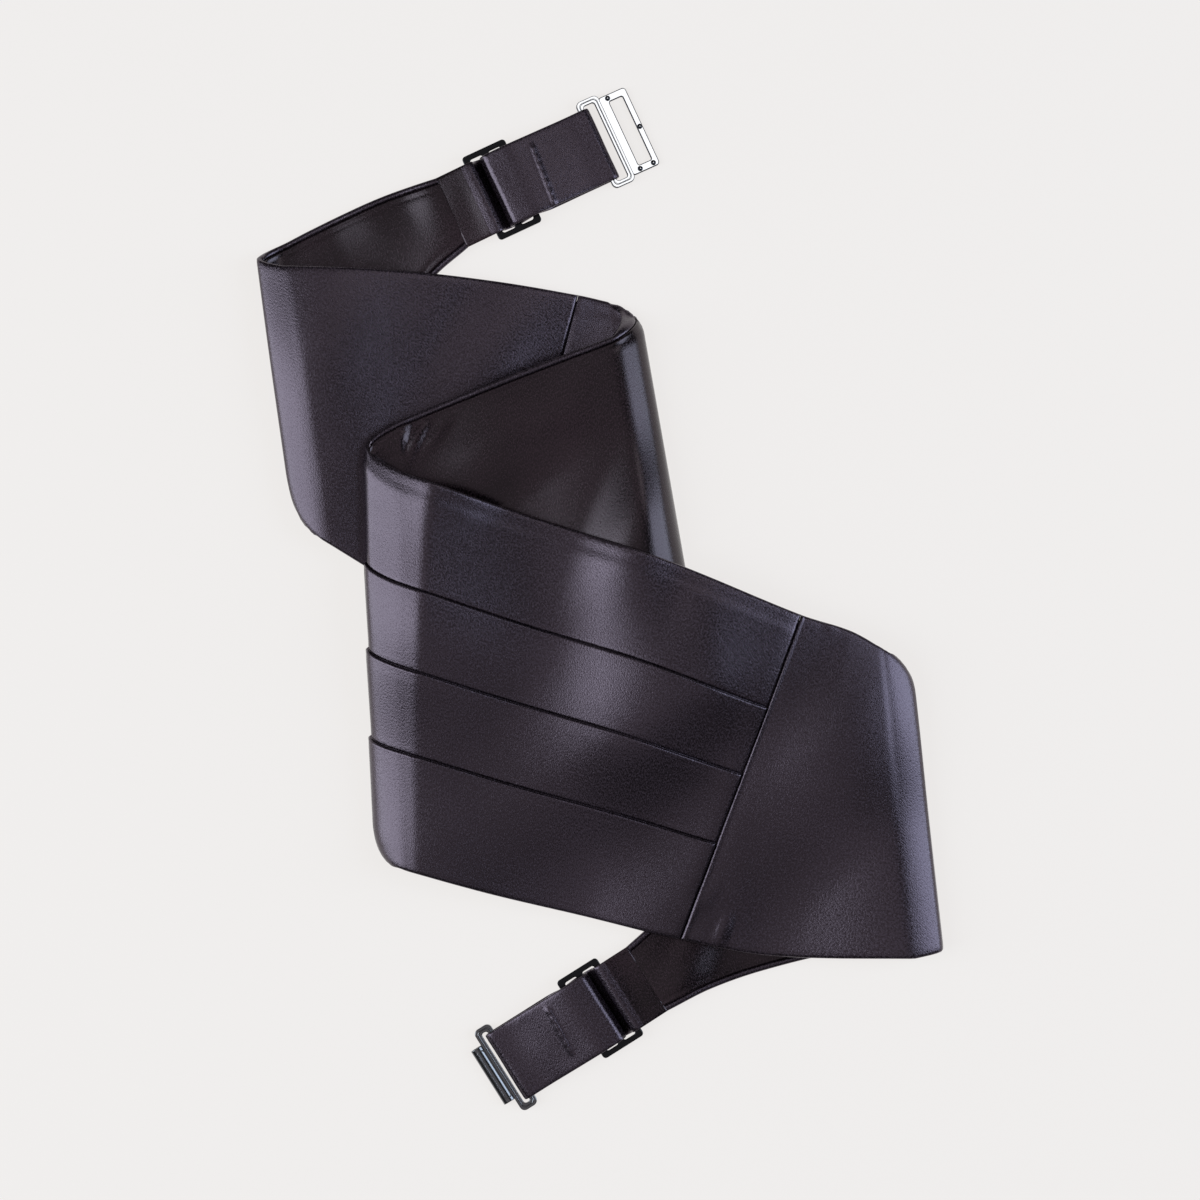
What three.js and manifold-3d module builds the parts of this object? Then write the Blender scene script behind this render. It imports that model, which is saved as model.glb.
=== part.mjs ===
import * as THREE from "three";
import { mergeVertices } from "three/addons/utils/BufferGeometryUtils.js";
import Module from "manifold-3d";

// A pleated satin cummerbund, laid on a flat surface and folded to and fro in a Z.
// Millimetres, +Z up. The surface it lies on is Z = 0, the layout is seen from above.

// Sizes of the layout
const LAY_WIDTH = 225; // reach across, along X
const LAY_LENGTH = 336; // reach along Y, from clasp to clasp
const FOLD_REACH = 9; // how far a fold's loop stands out past the folded panels
const FOLD_RISE = 6; // how far a fold's spring lifts the panel above it
const DRAPE = 45; // way over which a panel sinks past the edge of what it lies on
const LAYER_GAP = 0.8; // air between panels that lie loosely on each other

// Sizes of the band
const FRONT_HEIGHT = 129; // pleated front at its middle
const STRAP_WIDTH = 25;
const OUTER_CLOTH = 1.2; // satin with its interlining
const LINING_CLOTH = 1;
const CLOTH_GAP = 0.3; // between satin and lining, and at the seams
const TURNED_EDGE = 2; // satin turned over the lining along both long edges
const PLEAT_RISE = 0.9; // height of a pleat's folded edge

// Sizes of the straps and the fittings
const STRAP_CLOTH = 1.1;
const STRAP_GAP = 0.3; // clearance between a strap and what it runs round
const STRAP_LIFT = 0.1; // by which a strap's stiff bends hold it off the ground
const ROOT_TO_SLIDER = 18; // from the end of the side panel to the middle of the slider
const SLIDER_TO_CLASP = 34.6; // from there to the bar that carries the clasp
const BAR = 2.2; // bars of the slider
const SLIDER_SLOT = 4.45; // clear way between two bars of the slider
const SLIDER_SHEET = 1.4;
const SIDE_PLAY = 0.3; // beside a strap in its slot
const RING_BAR = 2; // bars of the clasp ring
const RING_SHEET = 1.6;
const RING_SIDE = 1; // clear way beside the strap in the clasp ring
const EYE_RING = 8; // length of the eye clasp's ring along the strap
const EYE_PLATE = 9.5; // plate with the slot for the hook, beyond the ring
const EYE_SLOT = 4.8;
const EYE_SLOT_WIDTH = 23;
const EYE_WIDTH = 28;
const HOOK_RING = 6.2; // length of the hook clasp's ring along the strap
const HOOK_REACH = 4; // hook beyond the ring
const HOOK_WIDTH = 20.6;
const HOOK_SHEET = 0.9;
const HOOK_GAPE = 1;
const RIVET_WIDTH = 2.4;
const RIVET_RISE = 0.35;
const EDGE_BREAK = 0.25; // small bevel on the metal edges

// Sections across the band, in order from the eye clasp's strap to the hook clasp's strap.
// x and y place the middle of a section as shares of the layout's width and length. lean is
// the angle in degrees by which its upper end leans to the left. high is its length as a
// share of the front's height. fold names the loop that leads on to the next section.
const STRAP_SHARE = STRAP_WIDTH / FRONT_HEIGHT;
const SECTIONS = [
  { name: "eye_root", panel: "A", x: -0.216, y: 0.379, lean: 25, high: STRAP_SHARE },
  { name: "eye_taper_3", panel: "A", x: -0.28, y: 0.354, lean: 25.5, high: 0.249 },
  { name: "eye_taper_2", panel: "A", x: -0.343, y: 0.31, lean: 20.9, high: 0.372 },
  { name: "eye_taper_1", panel: "A", x: -0.395, y: 0.264, lean: 12.5, high: 0.521 },
  { name: "fold_1_below", panel: "A", x: -0.437, y: 0.228, lean: 7.3, high: 0.641, fold: 0 },
  { name: "fold_1_above", panel: "B", x: -0.432, y: 0.192, lean: 7.9, high: 0.701 },
  { name: "side_b", panel: "B", x: -0.298, y: 0.166, lean: 3.2, high: 0.815 },
  { name: "side_b_2", panel: "B", x: -0.197, y: 0.151, lean: -5.1, high: 0.852 },
  { name: "seam_1", panel: "B", x: -0.096, y: 0.136, lean: -14.8, high: 0.878 },
  { name: "fold_2_below", panel: "B", x: 0.056, y: 0.119, lean: 9.6, high: 0.916, fold: 1 },
  { name: "fold_2_above", panel: "C", x: 0.061, y: 0.084, lean: 9.6, high: 0.908 },
  { name: "front_c", panel: "C", x: -0.052, y: 0.046, lean: 7.2, high: 0.964 },
  { name: "front_c_2", panel: "C", x: -0.17, y: 0.006, lean: 3.7, high: 1.026 },
  { name: "fold_3_below", panel: "C", x: -0.283, y: -0.033, lean: 0.7, high: 1.086, fold: 2 },
  { name: "fold_3_above", panel: "D", x: -0.285, y: -0.069, lean: 0.6, high: 1.011 },
  { name: "front_d", panel: "D", x: -0.128, y: -0.103, lean: -4.3, high: 0.969 },
  { name: "front_d_2", panel: "D", x: 0.038, y: -0.135, lean: -10.6, high: 0.933 },
  { name: "seam_2", panel: "D", x: 0.204, y: -0.173, lean: -20.3, high: 0.881 },
  { name: "side_d", panel: "D", x: 0.306, y: -0.189, lean: -13.8, high: 0.852 },
  { name: "fold_4_above", panel: "D", x: 0.435, y: -0.199, lean: 5.5, high: 0.787, fold: 3 },
  { name: "fold_4_below", panel: "E", x: 0.434, y: -0.215, lean: 6.4, high: 0.666 },
  { name: "hook_taper_1", panel: "E", x: 0.321, y: -0.259, lean: 12.1, high: 0.465 },
  { name: "hook_taper_2", panel: "E", x: 0.209, y: -0.308, lean: 21.9, high: 0.308 },
  { name: "hook_taper_3", panel: "E", x: 0.125, y: -0.345, lean: 31.4, high: 0.226 },
  { name: "hook_root", panel: "E", x: 0.068, y: -0.371, lean: 32.2, high: STRAP_SHARE },
];

// Folds: side is -1 for a loop on the left and 1 on the right. reachTop and reachLow are
// shares of the fold's reach at the upper and the lower end, lift is a share of its rise,
// and fade is the way over which the lifted panel sinks, as a share of the front's height.
const FOLDS = [
  { side: -1, reachTop: 0.9, reachLow: 0.86, lift: 0.9, fade: 0.35 },
  { side: 1, reachTop: 1.02, reachLow: 1.1, lift: 1, fade: 0.6 },
  { side: -1, reachTop: 1.2, reachLow: 1.1, lift: 1.15, fade: 0.45 },
  { side: 1, reachTop: 0.94, reachLow: 1, lift: 0.9, fade: 0.4 },
];

// Pleats: where a pleat begins and ends, as shares of the band's height from its upper edge,
// and how far its folded upper edge stands up, as a share of the pleat's rise.
const PLEATS = [
  { from: 0, to: 0.285, rise: 0.3 },
  { from: 0.285, to: 0.49, rise: 1 },
  { from: 0.49, to: 0.704, rise: 1 },
  { from: 0.704, to: 1, rise: 1 },
];

const STEPS_RUN = 3; // rows of faces from one section to the next
const STEPS_LOOP = 8; // rows of faces round a fold
const COLUMNS = 8; // faces across the band
const ROUND = 8; // sides of a rivet

// Distances from the middle surface, which lies between satin and lining
const OUTER_REACH = CLOTH_GAP / 2 + OUTER_CLOTH;
const INNER_REACH = CLOTH_GAP / 2 + LINING_CLOTH;
const FRONT_REACH = OUTER_REACH + PLEAT_RISE;

const satin = { color: 0x2b272e, roughness: 0.42, metalness: 0 };
const liningSatin = { color: 0x29242a, roughness: 0.5, metalness: 0 };
const blackMetal = { color: 0x111114, roughness: 0.4, metalness: 0.2 };
const brightMetal = { color: 0xc9cbd0, roughness: 0.18, metalness: 1 };

// The band's middle surface

const ends = SECTIONS.map((row) => {
  const middle = new THREE.Vector2(row.x * LAY_WIDTH, row.y * LAY_LENGTH);
  const lean = THREE.MathUtils.degToRad(row.lean);
  const half = new THREE.Vector2(-Math.sin(lean), Math.cos(lean));
  half.multiplyScalar((row.high * FRONT_HEIGHT) / 2);
  return { top: middle.clone().add(half), low: middle.clone().sub(half) };
});
const indexOf = (name) => SECTIONS.findIndex((row) => row.name === name);
const topOf = (name) => ends[indexOf(name)].top;
const lowOf = (name) => ends[indexOf(name)].low;

const smooth = (x) => THREE.MathUtils.smoothstep(x, 0, 1);

// How far a point lies to the right of the way from one point to another
function rightOf(point, from, to) {
  const way = to.clone().sub(from).normalize();
  const off = point.clone().sub(from);
  return off.x * way.y - off.y * way.x;
}

// 1 where a point lies inside all the given edges, sinking to 0 past them
function covered(point, edges) {
  return edges.reduce((share, [from, to]) => {
    return share * (1 - smooth(rightOf(point, from, to) / DRAPE));
  }, 1);
}

const foldLines = FOLDS.map((fold, number) => {
  const at = SECTIONS.findIndex((row) => row.fold === number);
  const top = ends[at].top.clone().add(ends[at + 1].top).multiplyScalar(0.5);
  const low = ends[at].low.clone().add(ends[at + 1].low).multiplyScalar(0.5);
  const up = top.clone().sub(low).normalize();
  const out = new THREE.Vector2(up.y, -up.x).multiplyScalar(fold.side);
  return { ...fold, top, low, out };
});

// Spring of a fold: full at its line, fading along the panel
function springOf(number, point) {
  const fold = foldLines[number];
  const inward = -point.clone().sub(fold.low).dot(fold.out);
  const share = THREE.MathUtils.clamp(inward / (fold.fade * FRONT_HEIGHT), 0, 1);
  return (FOLD_RISE * fold.lift * (1 + Math.cos(Math.PI * share))) / 2;
}

const stepLined = 2 * INNER_REACH + LAYER_GAP; // from one layer to the next, linings facing
const stepPleated = 2 * FRONT_REACH + LAYER_GAP; // the same, with the pleats facing

// Edges of each panel where the one above it sinks off, with the panel on the left of the way
const edgeOfA = [[lowOf("fold_1_below"), lowOf("eye_taper_3")]];
const edgesOfB = [
  [lowOf("fold_1_above"), lowOf("seam_1")],
  [lowOf("seam_1"), lowOf("fold_2_below")],
];
const loopOf2 = foldLines[1].out.clone().multiplyScalar(FOLD_REACH * foldLines[1].reachLow);
const edgesOfC = [
  [lowOf("fold_3_below"), lowOf("fold_2_above")],
  [foldLines[1].low.clone().add(loopOf2), foldLines[1].top.clone().add(loopOf2)],
];
const edgesOfE = [[topOf("fold_4_below"), topOf("hook_taper_3")]];

// Height of each panel's middle surface above the ground, from what lies under it
const HEIGHTS = {
  A: () => OUTER_REACH,
  B: (point) => {
    const onA = OUTER_REACH + stepLined;
    const rest = THREE.MathUtils.lerp(INNER_REACH, onA, covered(point, edgeOfA));
    return rest + springOf(0, point);
  },
  C: (point) => {
    const onB = HEIGHTS.B(point) + stepPleated;
    return THREE.MathUtils.lerp(FRONT_REACH, onB, covered(point, edgesOfB)) + springOf(1, point);
  },
  D: (point) => {
    const onE = OUTER_REACH + stepLined;
    const ground = THREE.MathUtils.lerp(INNER_REACH, onE, covered(point, edgesOfE));
    const onC = HEIGHTS.C(point) + stepLined;
    const rest = THREE.MathUtils.lerp(ground, onC, covered(point, edgesOfC));
    return rest + springOf(2, point) + springOf(3, point);
  },
  E: () => OUTER_REACH,
};

// A smooth curve through the ends of the sections of one panel
function alongEdge(edge, index, share) {
  const same = (i) => SECTIONS[i] && SECTIONS[i].panel === SECTIONS[index].panel;
  const from = ends[index][edge];
  const to = ends[index + 1][edge];
  const before = same(index - 1) ? ends[index - 1][edge] : from;
  const after = same(index + 2) ? ends[index + 2][edge] : to;
  const long = from.distanceTo(to);
  const slopeFrom = to.clone().sub(before).multiplyScalar(long / (long + from.distanceTo(before)));
  const slopeTo = after.clone().sub(from).multiplyScalar(long / (long + to.distanceTo(after)));
  const square = share * share;
  const cube = square * share;
  return from
    .clone()
    .multiplyScalar(2 * cube - 3 * square + 1)
    .addScaledVector(slopeFrom, cube - 2 * square + share)
    .addScaledVector(to, 3 * square - 2 * cube)
    .addScaledVector(slopeTo, cube - square);
}

// The middle surface: along counts the sections, across runs from -1 at the lower edge of
// the band to 1 at its upper edge
function middle(along, across) {
  const index = THREE.MathUtils.clamp(Math.floor(along), 0, SECTIONS.length - 2);
  const share = along - index;
  const up = (across + 1) / 2;
  const row = SECTIONS[index];
  if (row.fold === undefined) {
    const low = alongEdge("low", index, share);
    const plan = low.lerp(alongEdge("top", index, share), up);
    return new THREE.Vector3(plan.x, plan.y, HEIGHTS[row.panel](plan));
  }
  const fold = foldLines[row.fold];
  const from = ends[index].low.clone().lerp(ends[index].top, up);
  const to = ends[index + 1].low.clone().lerp(ends[index + 1].top, up);
  const heightFrom = HEIGHTS[row.panel](from);
  const heightTo = HEIGHTS[SECTIONS[index + 1].panel](to);
  const turn = Math.PI * share;
  const reach = FOLD_REACH * THREE.MathUtils.lerp(fold.reachLow, fold.reachTop, up);
  const plan = from.lerp(to, share).addScaledVector(fold.out, reach * Math.sin(turn));
  const height = (heightFrom + heightTo + (heightFrom - heightTo) * Math.cos(turn)) / 2;
  return new THREE.Vector3(plan.x, plan.y, height);
}

// A point of the cloth, above the middle surface on the satin's side
const PROBE = 0.01;
function clothPoint(along, across, above) {
  const last = SECTIONS.length - 1;
  const ahead = middle(Math.min(along + PROBE, last), across);
  const behind = middle(Math.max(along - PROBE, 0), across);
  const left = middle(along, across + PROBE);
  const right = middle(along, across - PROBE);
  const normal = ahead.sub(behind).cross(left.sub(right)).normalize();
  return middle(along, across).addScaledVector(normal, above);
}

// Rows of faces from one place along the band to another
function rowsBetween(from, to) {
  const rows = [from];
  for (let index = Math.floor(from); index < to; index += 1) {
    const steps = SECTIONS[index].fold === undefined ? STEPS_RUN : STEPS_LOOP;
    for (let step = 1; step <= steps; step += 1) {
      const row = index + step / steps;
      if (row > from + PROBE && row < to - PROBE) rows.push(row);
    }
  }
  rows.push(to);
  return rows;
}

// A share of the way to the next section that is a given length at the band's middle
function stepOfLength(along, length) {
  const index = Math.floor(along);
  return length / middle(index, 0).distanceTo(middle(index + 1, 0));
}

// How far across the band a length from its edge reaches
const acrossOf = (along, length) => {
  return (2 * length) / middle(along, 1).distanceTo(middle(along, -1));
};

// Solids

// The outline of an end ring, seen along the band
function endOutline(ring) {
  const plan = ring.map((point) => new THREE.Vector2(point.x, point.y));
  const far = plan.reduce((best, point) => {
    return point.distanceTo(plan[0]) > best.distanceTo(plan[0]) ? point : best;
  }, plan[0]);
  const way = far.clone().sub(plan[0]).normalize();
  return ring.map((point, i) => new THREE.Vector2(plan[i].dot(way), point.z));
}

// A closed mesh from rings of points with the same count, closed at both ends
function meshFromRings(rings) {
  const count = rings[0].length;
  const positions = rings.flat().flatMap((point) => [point.x, point.y, point.z]);
  const faces = [];
  for (let row = 0; row + 1 < rings.length; row += 1) {
    for (let i = 0; i < count; i += 1) {
      const a = row * count + i;
      const b = row * count + ((i + 1) % count);
      faces.push(a, b, a + count, b, b + count, a + count);
    }
  }
  [0, rings.length - 1].forEach((row) => {
    const outline = endOutline(rings[row]);
    const turned = THREE.ShapeUtils.area(outline) > 0 === (row === 0);
    const start = row * count;
    THREE.ShapeUtils.triangulateShape(outline, []).forEach(([a, b, c]) => {
      faces.push(start + (turned ? b : a), start + (turned ? a : b), start + c);
    });
  });
  const geometry = new THREE.BufferGeometry();
  geometry.setAttribute("position", new THREE.Float32BufferAttribute(positions, 3));
  geometry.setIndex(faces);
  if (volumeOf(geometry) < 0) turnInsideOut(geometry);
  geometry.computeVertexNormals();
  return geometry;
}

function volumeOf(geometry) {
  const points = geometry.attributes.position;
  const corner = (i) => new THREE.Vector3().fromBufferAttribute(points, geometry.index.getX(i));
  let total = 0;
  for (let i = 0; i < geometry.index.count; i += 3) {
    total += corner(i).dot(corner(i + 1).cross(corner(i + 2)));
  }
  return total / 6;
}

function turnInsideOut(geometry) {
  const faces = geometry.index.array;
  for (let i = 0; i < faces.length; i += 3) {
    [faces[i + 1], faces[i + 2]] = [faces[i + 2], faces[i + 1]];
  }
}

// Places across the band from one edge inset to the other
function spread(inset) {
  return Array.from({ length: COLUMNS + 1 }, (_, i) => {
    return THREE.MathUtils.lerp(inset - 1, 1 - inset, i / COLUMNS);
  });
}

// Cross-section of the satin: its face, then the edges turned over the lining
function satinRing(along, face) {
  const rim = acrossOf(along, TURNED_EDGE);
  const back = spread(rim).reverse();
  const under = back.map((across) => [across, CLOTH_GAP / 2]);
  return [
    ...face,
    [1, -INNER_REACH],
    [1 - rim, -INNER_REACH],
    ...under,
    [rim - 1, -INNER_REACH],
    [-1, -INNER_REACH],
  ];
}

const plainFace = () => spread(0).map((across) => [across, OUTER_REACH]);

// The pleated face, from the lower edge up, with a step at each pleat's folded edge
function pleatedFace() {
  return [...PLEATS].reverse().flatMap((pleat) => {
    const low = 1 - 2 * pleat.to;
    const top = 1 - 2 * pleat.from;
    const edge = OUTER_REACH + PLEAT_RISE * pleat.rise;
    return [
      [low, OUTER_REACH],
      [(low + top) / 2, (OUTER_REACH + edge) / 2],
      [top, edge],
    ];
  });
}

function liningRing(along) {
  const inset = acrossOf(along, TURNED_EDGE + 2 * CLOTH_GAP);
  const front = spread(inset).map((across) => [across, -INNER_REACH]);
  const back = spread(inset).map((across) => [across, -CLOTH_GAP / 2]);
  return [...front, ...back.reverse()];
}

function bandGeometry(rows, ringAt) {
  const rings = rows.map((along) => {
    return ringAt(along).map(([across, above]) => clothPoint(along, across, above));
  });
  return meshFromRings(rings);
}

// Straps

const FLOOR_STRAP = STRAP_CLOTH / 2 + STRAP_LIFT;
const TAIL = FLOOR_STRAP + STRAP_CLOTH + STRAP_GAP;
const SLIDER_HEIGHT = TAIL + STRAP_CLOTH / 2 + STRAP_GAP + SLIDER_SHEET / 2;
const OVER_BAR = SLIDER_HEIGHT + SLIDER_SHEET / 2 + 2 * STRAP_GAP + STRAP_CLOTH / 2;
const TOP_LAYER = OVER_BAR + STRAP_CLOTH + STRAP_GAP;
const OUTER_BAR = BAR + SLIDER_SLOT; // from the slider's middle bar to an outer bar
const LOOP = RING_BAR / 2 + STRAP_GAP + STRAP_CLOTH / 2; // strap's loop round the clasp's bar
const CLASP_HEIGHT = FLOOR_STRAP + LOOP;
const WRAP = BAR / 2 + STRAP_GAP + STRAP_CLOTH / 2; // strap's end round the middle bar

// The way of a strap, seen from the side: along from the slider's middle bar towards the
// clasp, and up. It rises over the slider's bar beside the panel, dives under the middle
// bar, runs over the far bar to the clasp, loops its bar and comes back on top, and its end
// goes round the slider's middle bar.
function strapWay() {
  const clasp = SLIDER_TO_CLASP;
  const turns = (middleAlong, height, radius, stretch, fromAngle, toAngle, steps) => {
    return Array.from({ length: steps + 1 }, (_, i) => {
      const angle = THREE.MathUtils.lerp(fromAngle, toAngle, i / steps);
      const along = middleAlong + radius * Math.cos(angle);
      return [along, height + stretch * Math.sin(angle)];
    });
  };
  const dive = SLIDER_SLOT / 2 + BAR / 2 + STRAP_CLOTH * 0.6;
  const lead = [
    [-ROOT_TO_SLIDER + CLOTH_GAP, OUTER_REACH],
    [-ROOT_TO_SLIDER * 0.8, OUTER_REACH],
    [-OUTER_BAR - BAR * 1.7, OUTER_REACH + STRAP_CLOTH * 0.5],
    [-OUTER_BAR - BAR * 0.6, OVER_BAR - STRAP_CLOTH * 0.2],
    [-OUTER_BAR, OVER_BAR],
    [-OUTER_BAR + BAR * 0.5, OVER_BAR - STRAP_CLOTH * 0.2],
    [-dive, SLIDER_HEIGHT - STRAP_CLOTH * 0.4],
    [-dive + BAR * 0.8, FLOOR_STRAP + STRAP_CLOTH * 0.5],
    [-BAR / 2, FLOOR_STRAP],
    [BAR / 2, FLOOR_STRAP],
    [dive - BAR * 0.8, FLOOR_STRAP + STRAP_CLOTH * 0.5],
    [dive, SLIDER_HEIGHT - STRAP_CLOTH * 0.4],
    [OUTER_BAR - BAR * 0.5, OVER_BAR - STRAP_CLOTH * 0.2],
    [OUTER_BAR, OVER_BAR],
    [OUTER_BAR + BAR * 0.6, OVER_BAR - STRAP_CLOTH * 0.2],
    [OUTER_BAR + BAR * 2, FLOOR_STRAP + STRAP_CLOTH],
    [OUTER_BAR + BAR * 3.4, FLOOR_STRAP],
    [clasp - BAR * 4, FLOOR_STRAP],
  ];
  const round = turns(clasp, CLASP_HEIGHT, LOOP, LOOP, -Math.PI / 2, Math.PI / 2, 8);
  const back = [
    [clasp - BAR * 3, CLASP_HEIGHT + LOOP],
    [OUTER_BAR + BAR * 4, CLASP_HEIGHT + LOOP + STRAP_CLOTH * 0.5],
    [OUTER_BAR + BAR * 1.6, TOP_LAYER - STRAP_CLOTH * 0.5],
    [OUTER_BAR, TOP_LAYER],
    [OUTER_BAR - BAR * 1.5, TOP_LAYER - STRAP_CLOTH * 0.35],
  ];
  const stretch = OVER_BAR - SLIDER_HEIGHT;
  const end = turns(0, SLIDER_HEIGHT, WRAP, stretch, Math.PI * 0.42, Math.PI * 1.6, 10);
  return [...lead, ...round, ...back, ...end].map(([along, up]) => new THREE.Vector2(along, up));
}

const STRAP_STEPS = 72; // rows of faces along a strap

function strapGeometry() {
  const way = new THREE.SplineCurve(strapWay());
  const half = STRAP_CLOTH / 2;
  const side = STRAP_WIDTH / 2;
  const rings = Array.from({ length: STRAP_STEPS + 1 }, (_, i) => {
    const place = way.getPointAt(i / STRAP_STEPS);
    const ahead = way.getTangentAt(i / STRAP_STEPS);
    const corner = (across, above) => {
      return new THREE.Vector3(place.x - ahead.y * above, across, place.y + ahead.x * above);
    };
    return [corner(-side, -half), corner(side, -half), corner(side, half), corner(-side, half)];
  });
  return meshFromRings(rings);
}

// Metal fittings, with the strap along X and Z up

function roundedOutline(shape, left, right, half, radius) {
  shape.moveTo(left + radius, -half);
  shape.lineTo(right - radius, -half);
  shape.absarc(right - radius, radius - half, radius, -Math.PI / 2, 0, false);
  shape.lineTo(right, half - radius);
  shape.absarc(right - radius, half - radius, radius, 0, Math.PI / 2, false);
  shape.lineTo(left + radius, half);
  shape.absarc(left + radius, half - radius, radius, Math.PI / 2, Math.PI, false);
  shape.lineTo(left, radius - half);
  shape.absarc(left + radius, radius - half, radius, Math.PI, Math.PI * 1.5, false);
  return shape;
}

// A flat plate with bevelled edges and slots through it, each slot [left, right, half width]
function plateGeometry(left, right, half, radius, sheet, slots) {
  const inset = EDGE_BREAK;
  const shape = roundedOutline(
    new THREE.Shape(), left + inset, right - inset, half - inset, radius - inset,
  );
  slots.forEach(([slotLeft, slotRight, slotHalf]) => {
    const hole = roundedOutline(
      new THREE.Path(), slotLeft - inset, slotRight + inset, slotHalf + inset, radius / 2 + inset,
    );
    shape.holes.push(hole);
  });
  const geometry = new THREE.ExtrudeGeometry(shape, {
    depth: sheet - 2 * inset,
    bevelEnabled: true,
    bevelThickness: inset,
    bevelSize: inset,
    bevelSegments: 1,
    curveSegments: 2,
  });
  return geometry.translate(0, 0, inset - sheet / 2);
}

function sliderGeometry() {
  const half = STRAP_WIDTH / 2 + SIDE_PLAY;
  const end = OUTER_BAR + BAR / 2;
  const slots = [
    [-OUTER_BAR + BAR / 2, -BAR / 2, half],
    [BAR / 2, OUTER_BAR - BAR / 2, half],
  ];
  return plateGeometry(-end, end, half + BAR, BAR * 0.7, SLIDER_SHEET, slots);
}

const wasm = await Module();
wasm.setup();

function solidFrom(geometry) {
  const bare = geometry.clone();
  bare.deleteAttribute("normal");
  bare.deleteAttribute("uv");
  const merged = mergeVertices(bare, 1e-4);
  return new wasm.Manifold(new wasm.Mesh({
    numProp: 3,
    vertProperties: new Float32Array(merged.attributes.position.array),
    triVerts: new Uint32Array(merged.index.array),
  }));
}

function geometryFrom(solid) {
  const mesh = solid.getMesh();
  const geometry = new THREE.BufferGeometry();
  geometry.setAttribute("position", new THREE.BufferAttribute(mesh.vertProperties, 3));
  geometry.setIndex(new THREE.BufferAttribute(mesh.triVerts, 1));
  geometry.computeVertexNormals();
  return geometry;
}

// The ring that a clasp hangs on its strap with, the strap's bar at X = 0
function ringGeometry(length) {
  const half = STRAP_WIDTH / 2 + RING_SIDE;
  const left = -RING_BAR / 2;
  const right = left + length;
  const slot = [left + RING_BAR, right - RING_BAR, half];
  return plateGeometry(left, right, half + RING_BAR, RING_BAR * 0.9, RING_SHEET, [slot]);
}

function rivetGeometry(along, across) {
  const radius = RIVET_WIDTH / 2;
  const rise = RING_SHEET / 2 + RIVET_RISE;
  const profile = [
    new THREE.Vector2(0, 0),
    new THREE.Vector2(radius, 0),
    new THREE.Vector2(radius, RING_SHEET / 2),
    new THREE.Vector2(radius * 0.6, rise),
    new THREE.Vector2(0, rise),
  ];
  const dome = new THREE.LatheGeometry(profile, ROUND);
  return dome.rotateX(Math.PI / 2).translate(along, across, 0);
}

// Eye half: the ring, then a plate with the slot that takes the hook
function eyeGeometry() {
  const left = EYE_RING - RING_BAR * 0.75;
  const right = EYE_RING - RING_BAR / 2 + EYE_PLATE;
  const slotRight = right - RING_BAR;
  const slot = [slotRight - EYE_SLOT, slotRight, EYE_SLOT_WIDTH / 2];
  const half = EYE_WIDTH / 2;
  const plate = plateGeometry(left, right, half, RING_BAR * 0.6, RING_SHEET * 0.8, [slot]);
  const armMiddle = (EYE_SLOT_WIDTH / 2 + half) / 2;
  const rivets = [
    [slot[0], armMiddle],
    [slot[0], -armMiddle],
    [slotRight, -armMiddle],
    [right - RING_BAR / 2, 0],
  ];
  let solid = solidFrom(ringGeometry(EYE_RING)).add(solidFrom(plate));
  rivets.forEach(([along, across]) => {
    solid = solid.add(solidFrom(rivetGeometry(along, across)));
  });
  return geometryFrom(solid);
}

// Hook half: the ring, then a tongue whose end is bent back under it
function hookGeometry() {
  const ringEnd = HOOK_RING - RING_BAR / 2;
  const tip = ringEnd + HOOK_REACH;
  const outer = HOOK_GAPE / 2 + HOOK_SHEET;
  const bendAlong = tip - outer;
  const bendUp = HOOK_SHEET / 2 - outer;
  const start = ringEnd - RING_BAR / 2;
  const lipStart = ringEnd + EDGE_BREAK;
  const profile = new THREE.Shape();
  profile.moveTo(start, HOOK_SHEET / 2);
  profile.lineTo(bendAlong, HOOK_SHEET / 2);
  profile.absarc(bendAlong, bendUp, outer, Math.PI / 2, -Math.PI / 2, true);
  profile.lineTo(lipStart, bendUp - outer);
  profile.lineTo(lipStart, bendUp - HOOK_GAPE / 2);
  profile.lineTo(bendAlong, bendUp - HOOK_GAPE / 2);
  profile.absarc(bendAlong, bendUp, HOOK_GAPE / 2, -Math.PI / 2, Math.PI / 2, false);
  profile.lineTo(start, -HOOK_SHEET / 2);
  profile.closePath();
  const tongue = new THREE.ExtrudeGeometry(profile, {
    depth: HOOK_WIDTH, bevelEnabled: false, curveSegments: 6,
  });
  tongue.translate(0, 0, -HOOK_WIDTH / 2).rotateX(Math.PI / 2);
  return geometryFrom(solidFrom(ringGeometry(HOOK_RING)).add(solidFrom(tongue)));
}

// The assembly

const cummerbund = new THREE.Group();

function addMesh(parent, name, geometry, look) {
  const mesh = new THREE.Mesh(geometry, new THREE.MeshStandardMaterial(look));
  mesh.name = name;
  parent.add(mesh);
  return mesh;
}

const seam1 = indexOf("seam_1");
const seam2 = indexOf("seam_2");
const bandEnd = SECTIONS.length - 1;
const seamGap = CLOTH_GAP / 2;
const plainSatin = (along) => satinRing(along, plainFace());
const pleatedSatin = (along) => satinRing(along, pleatedFace());

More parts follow.
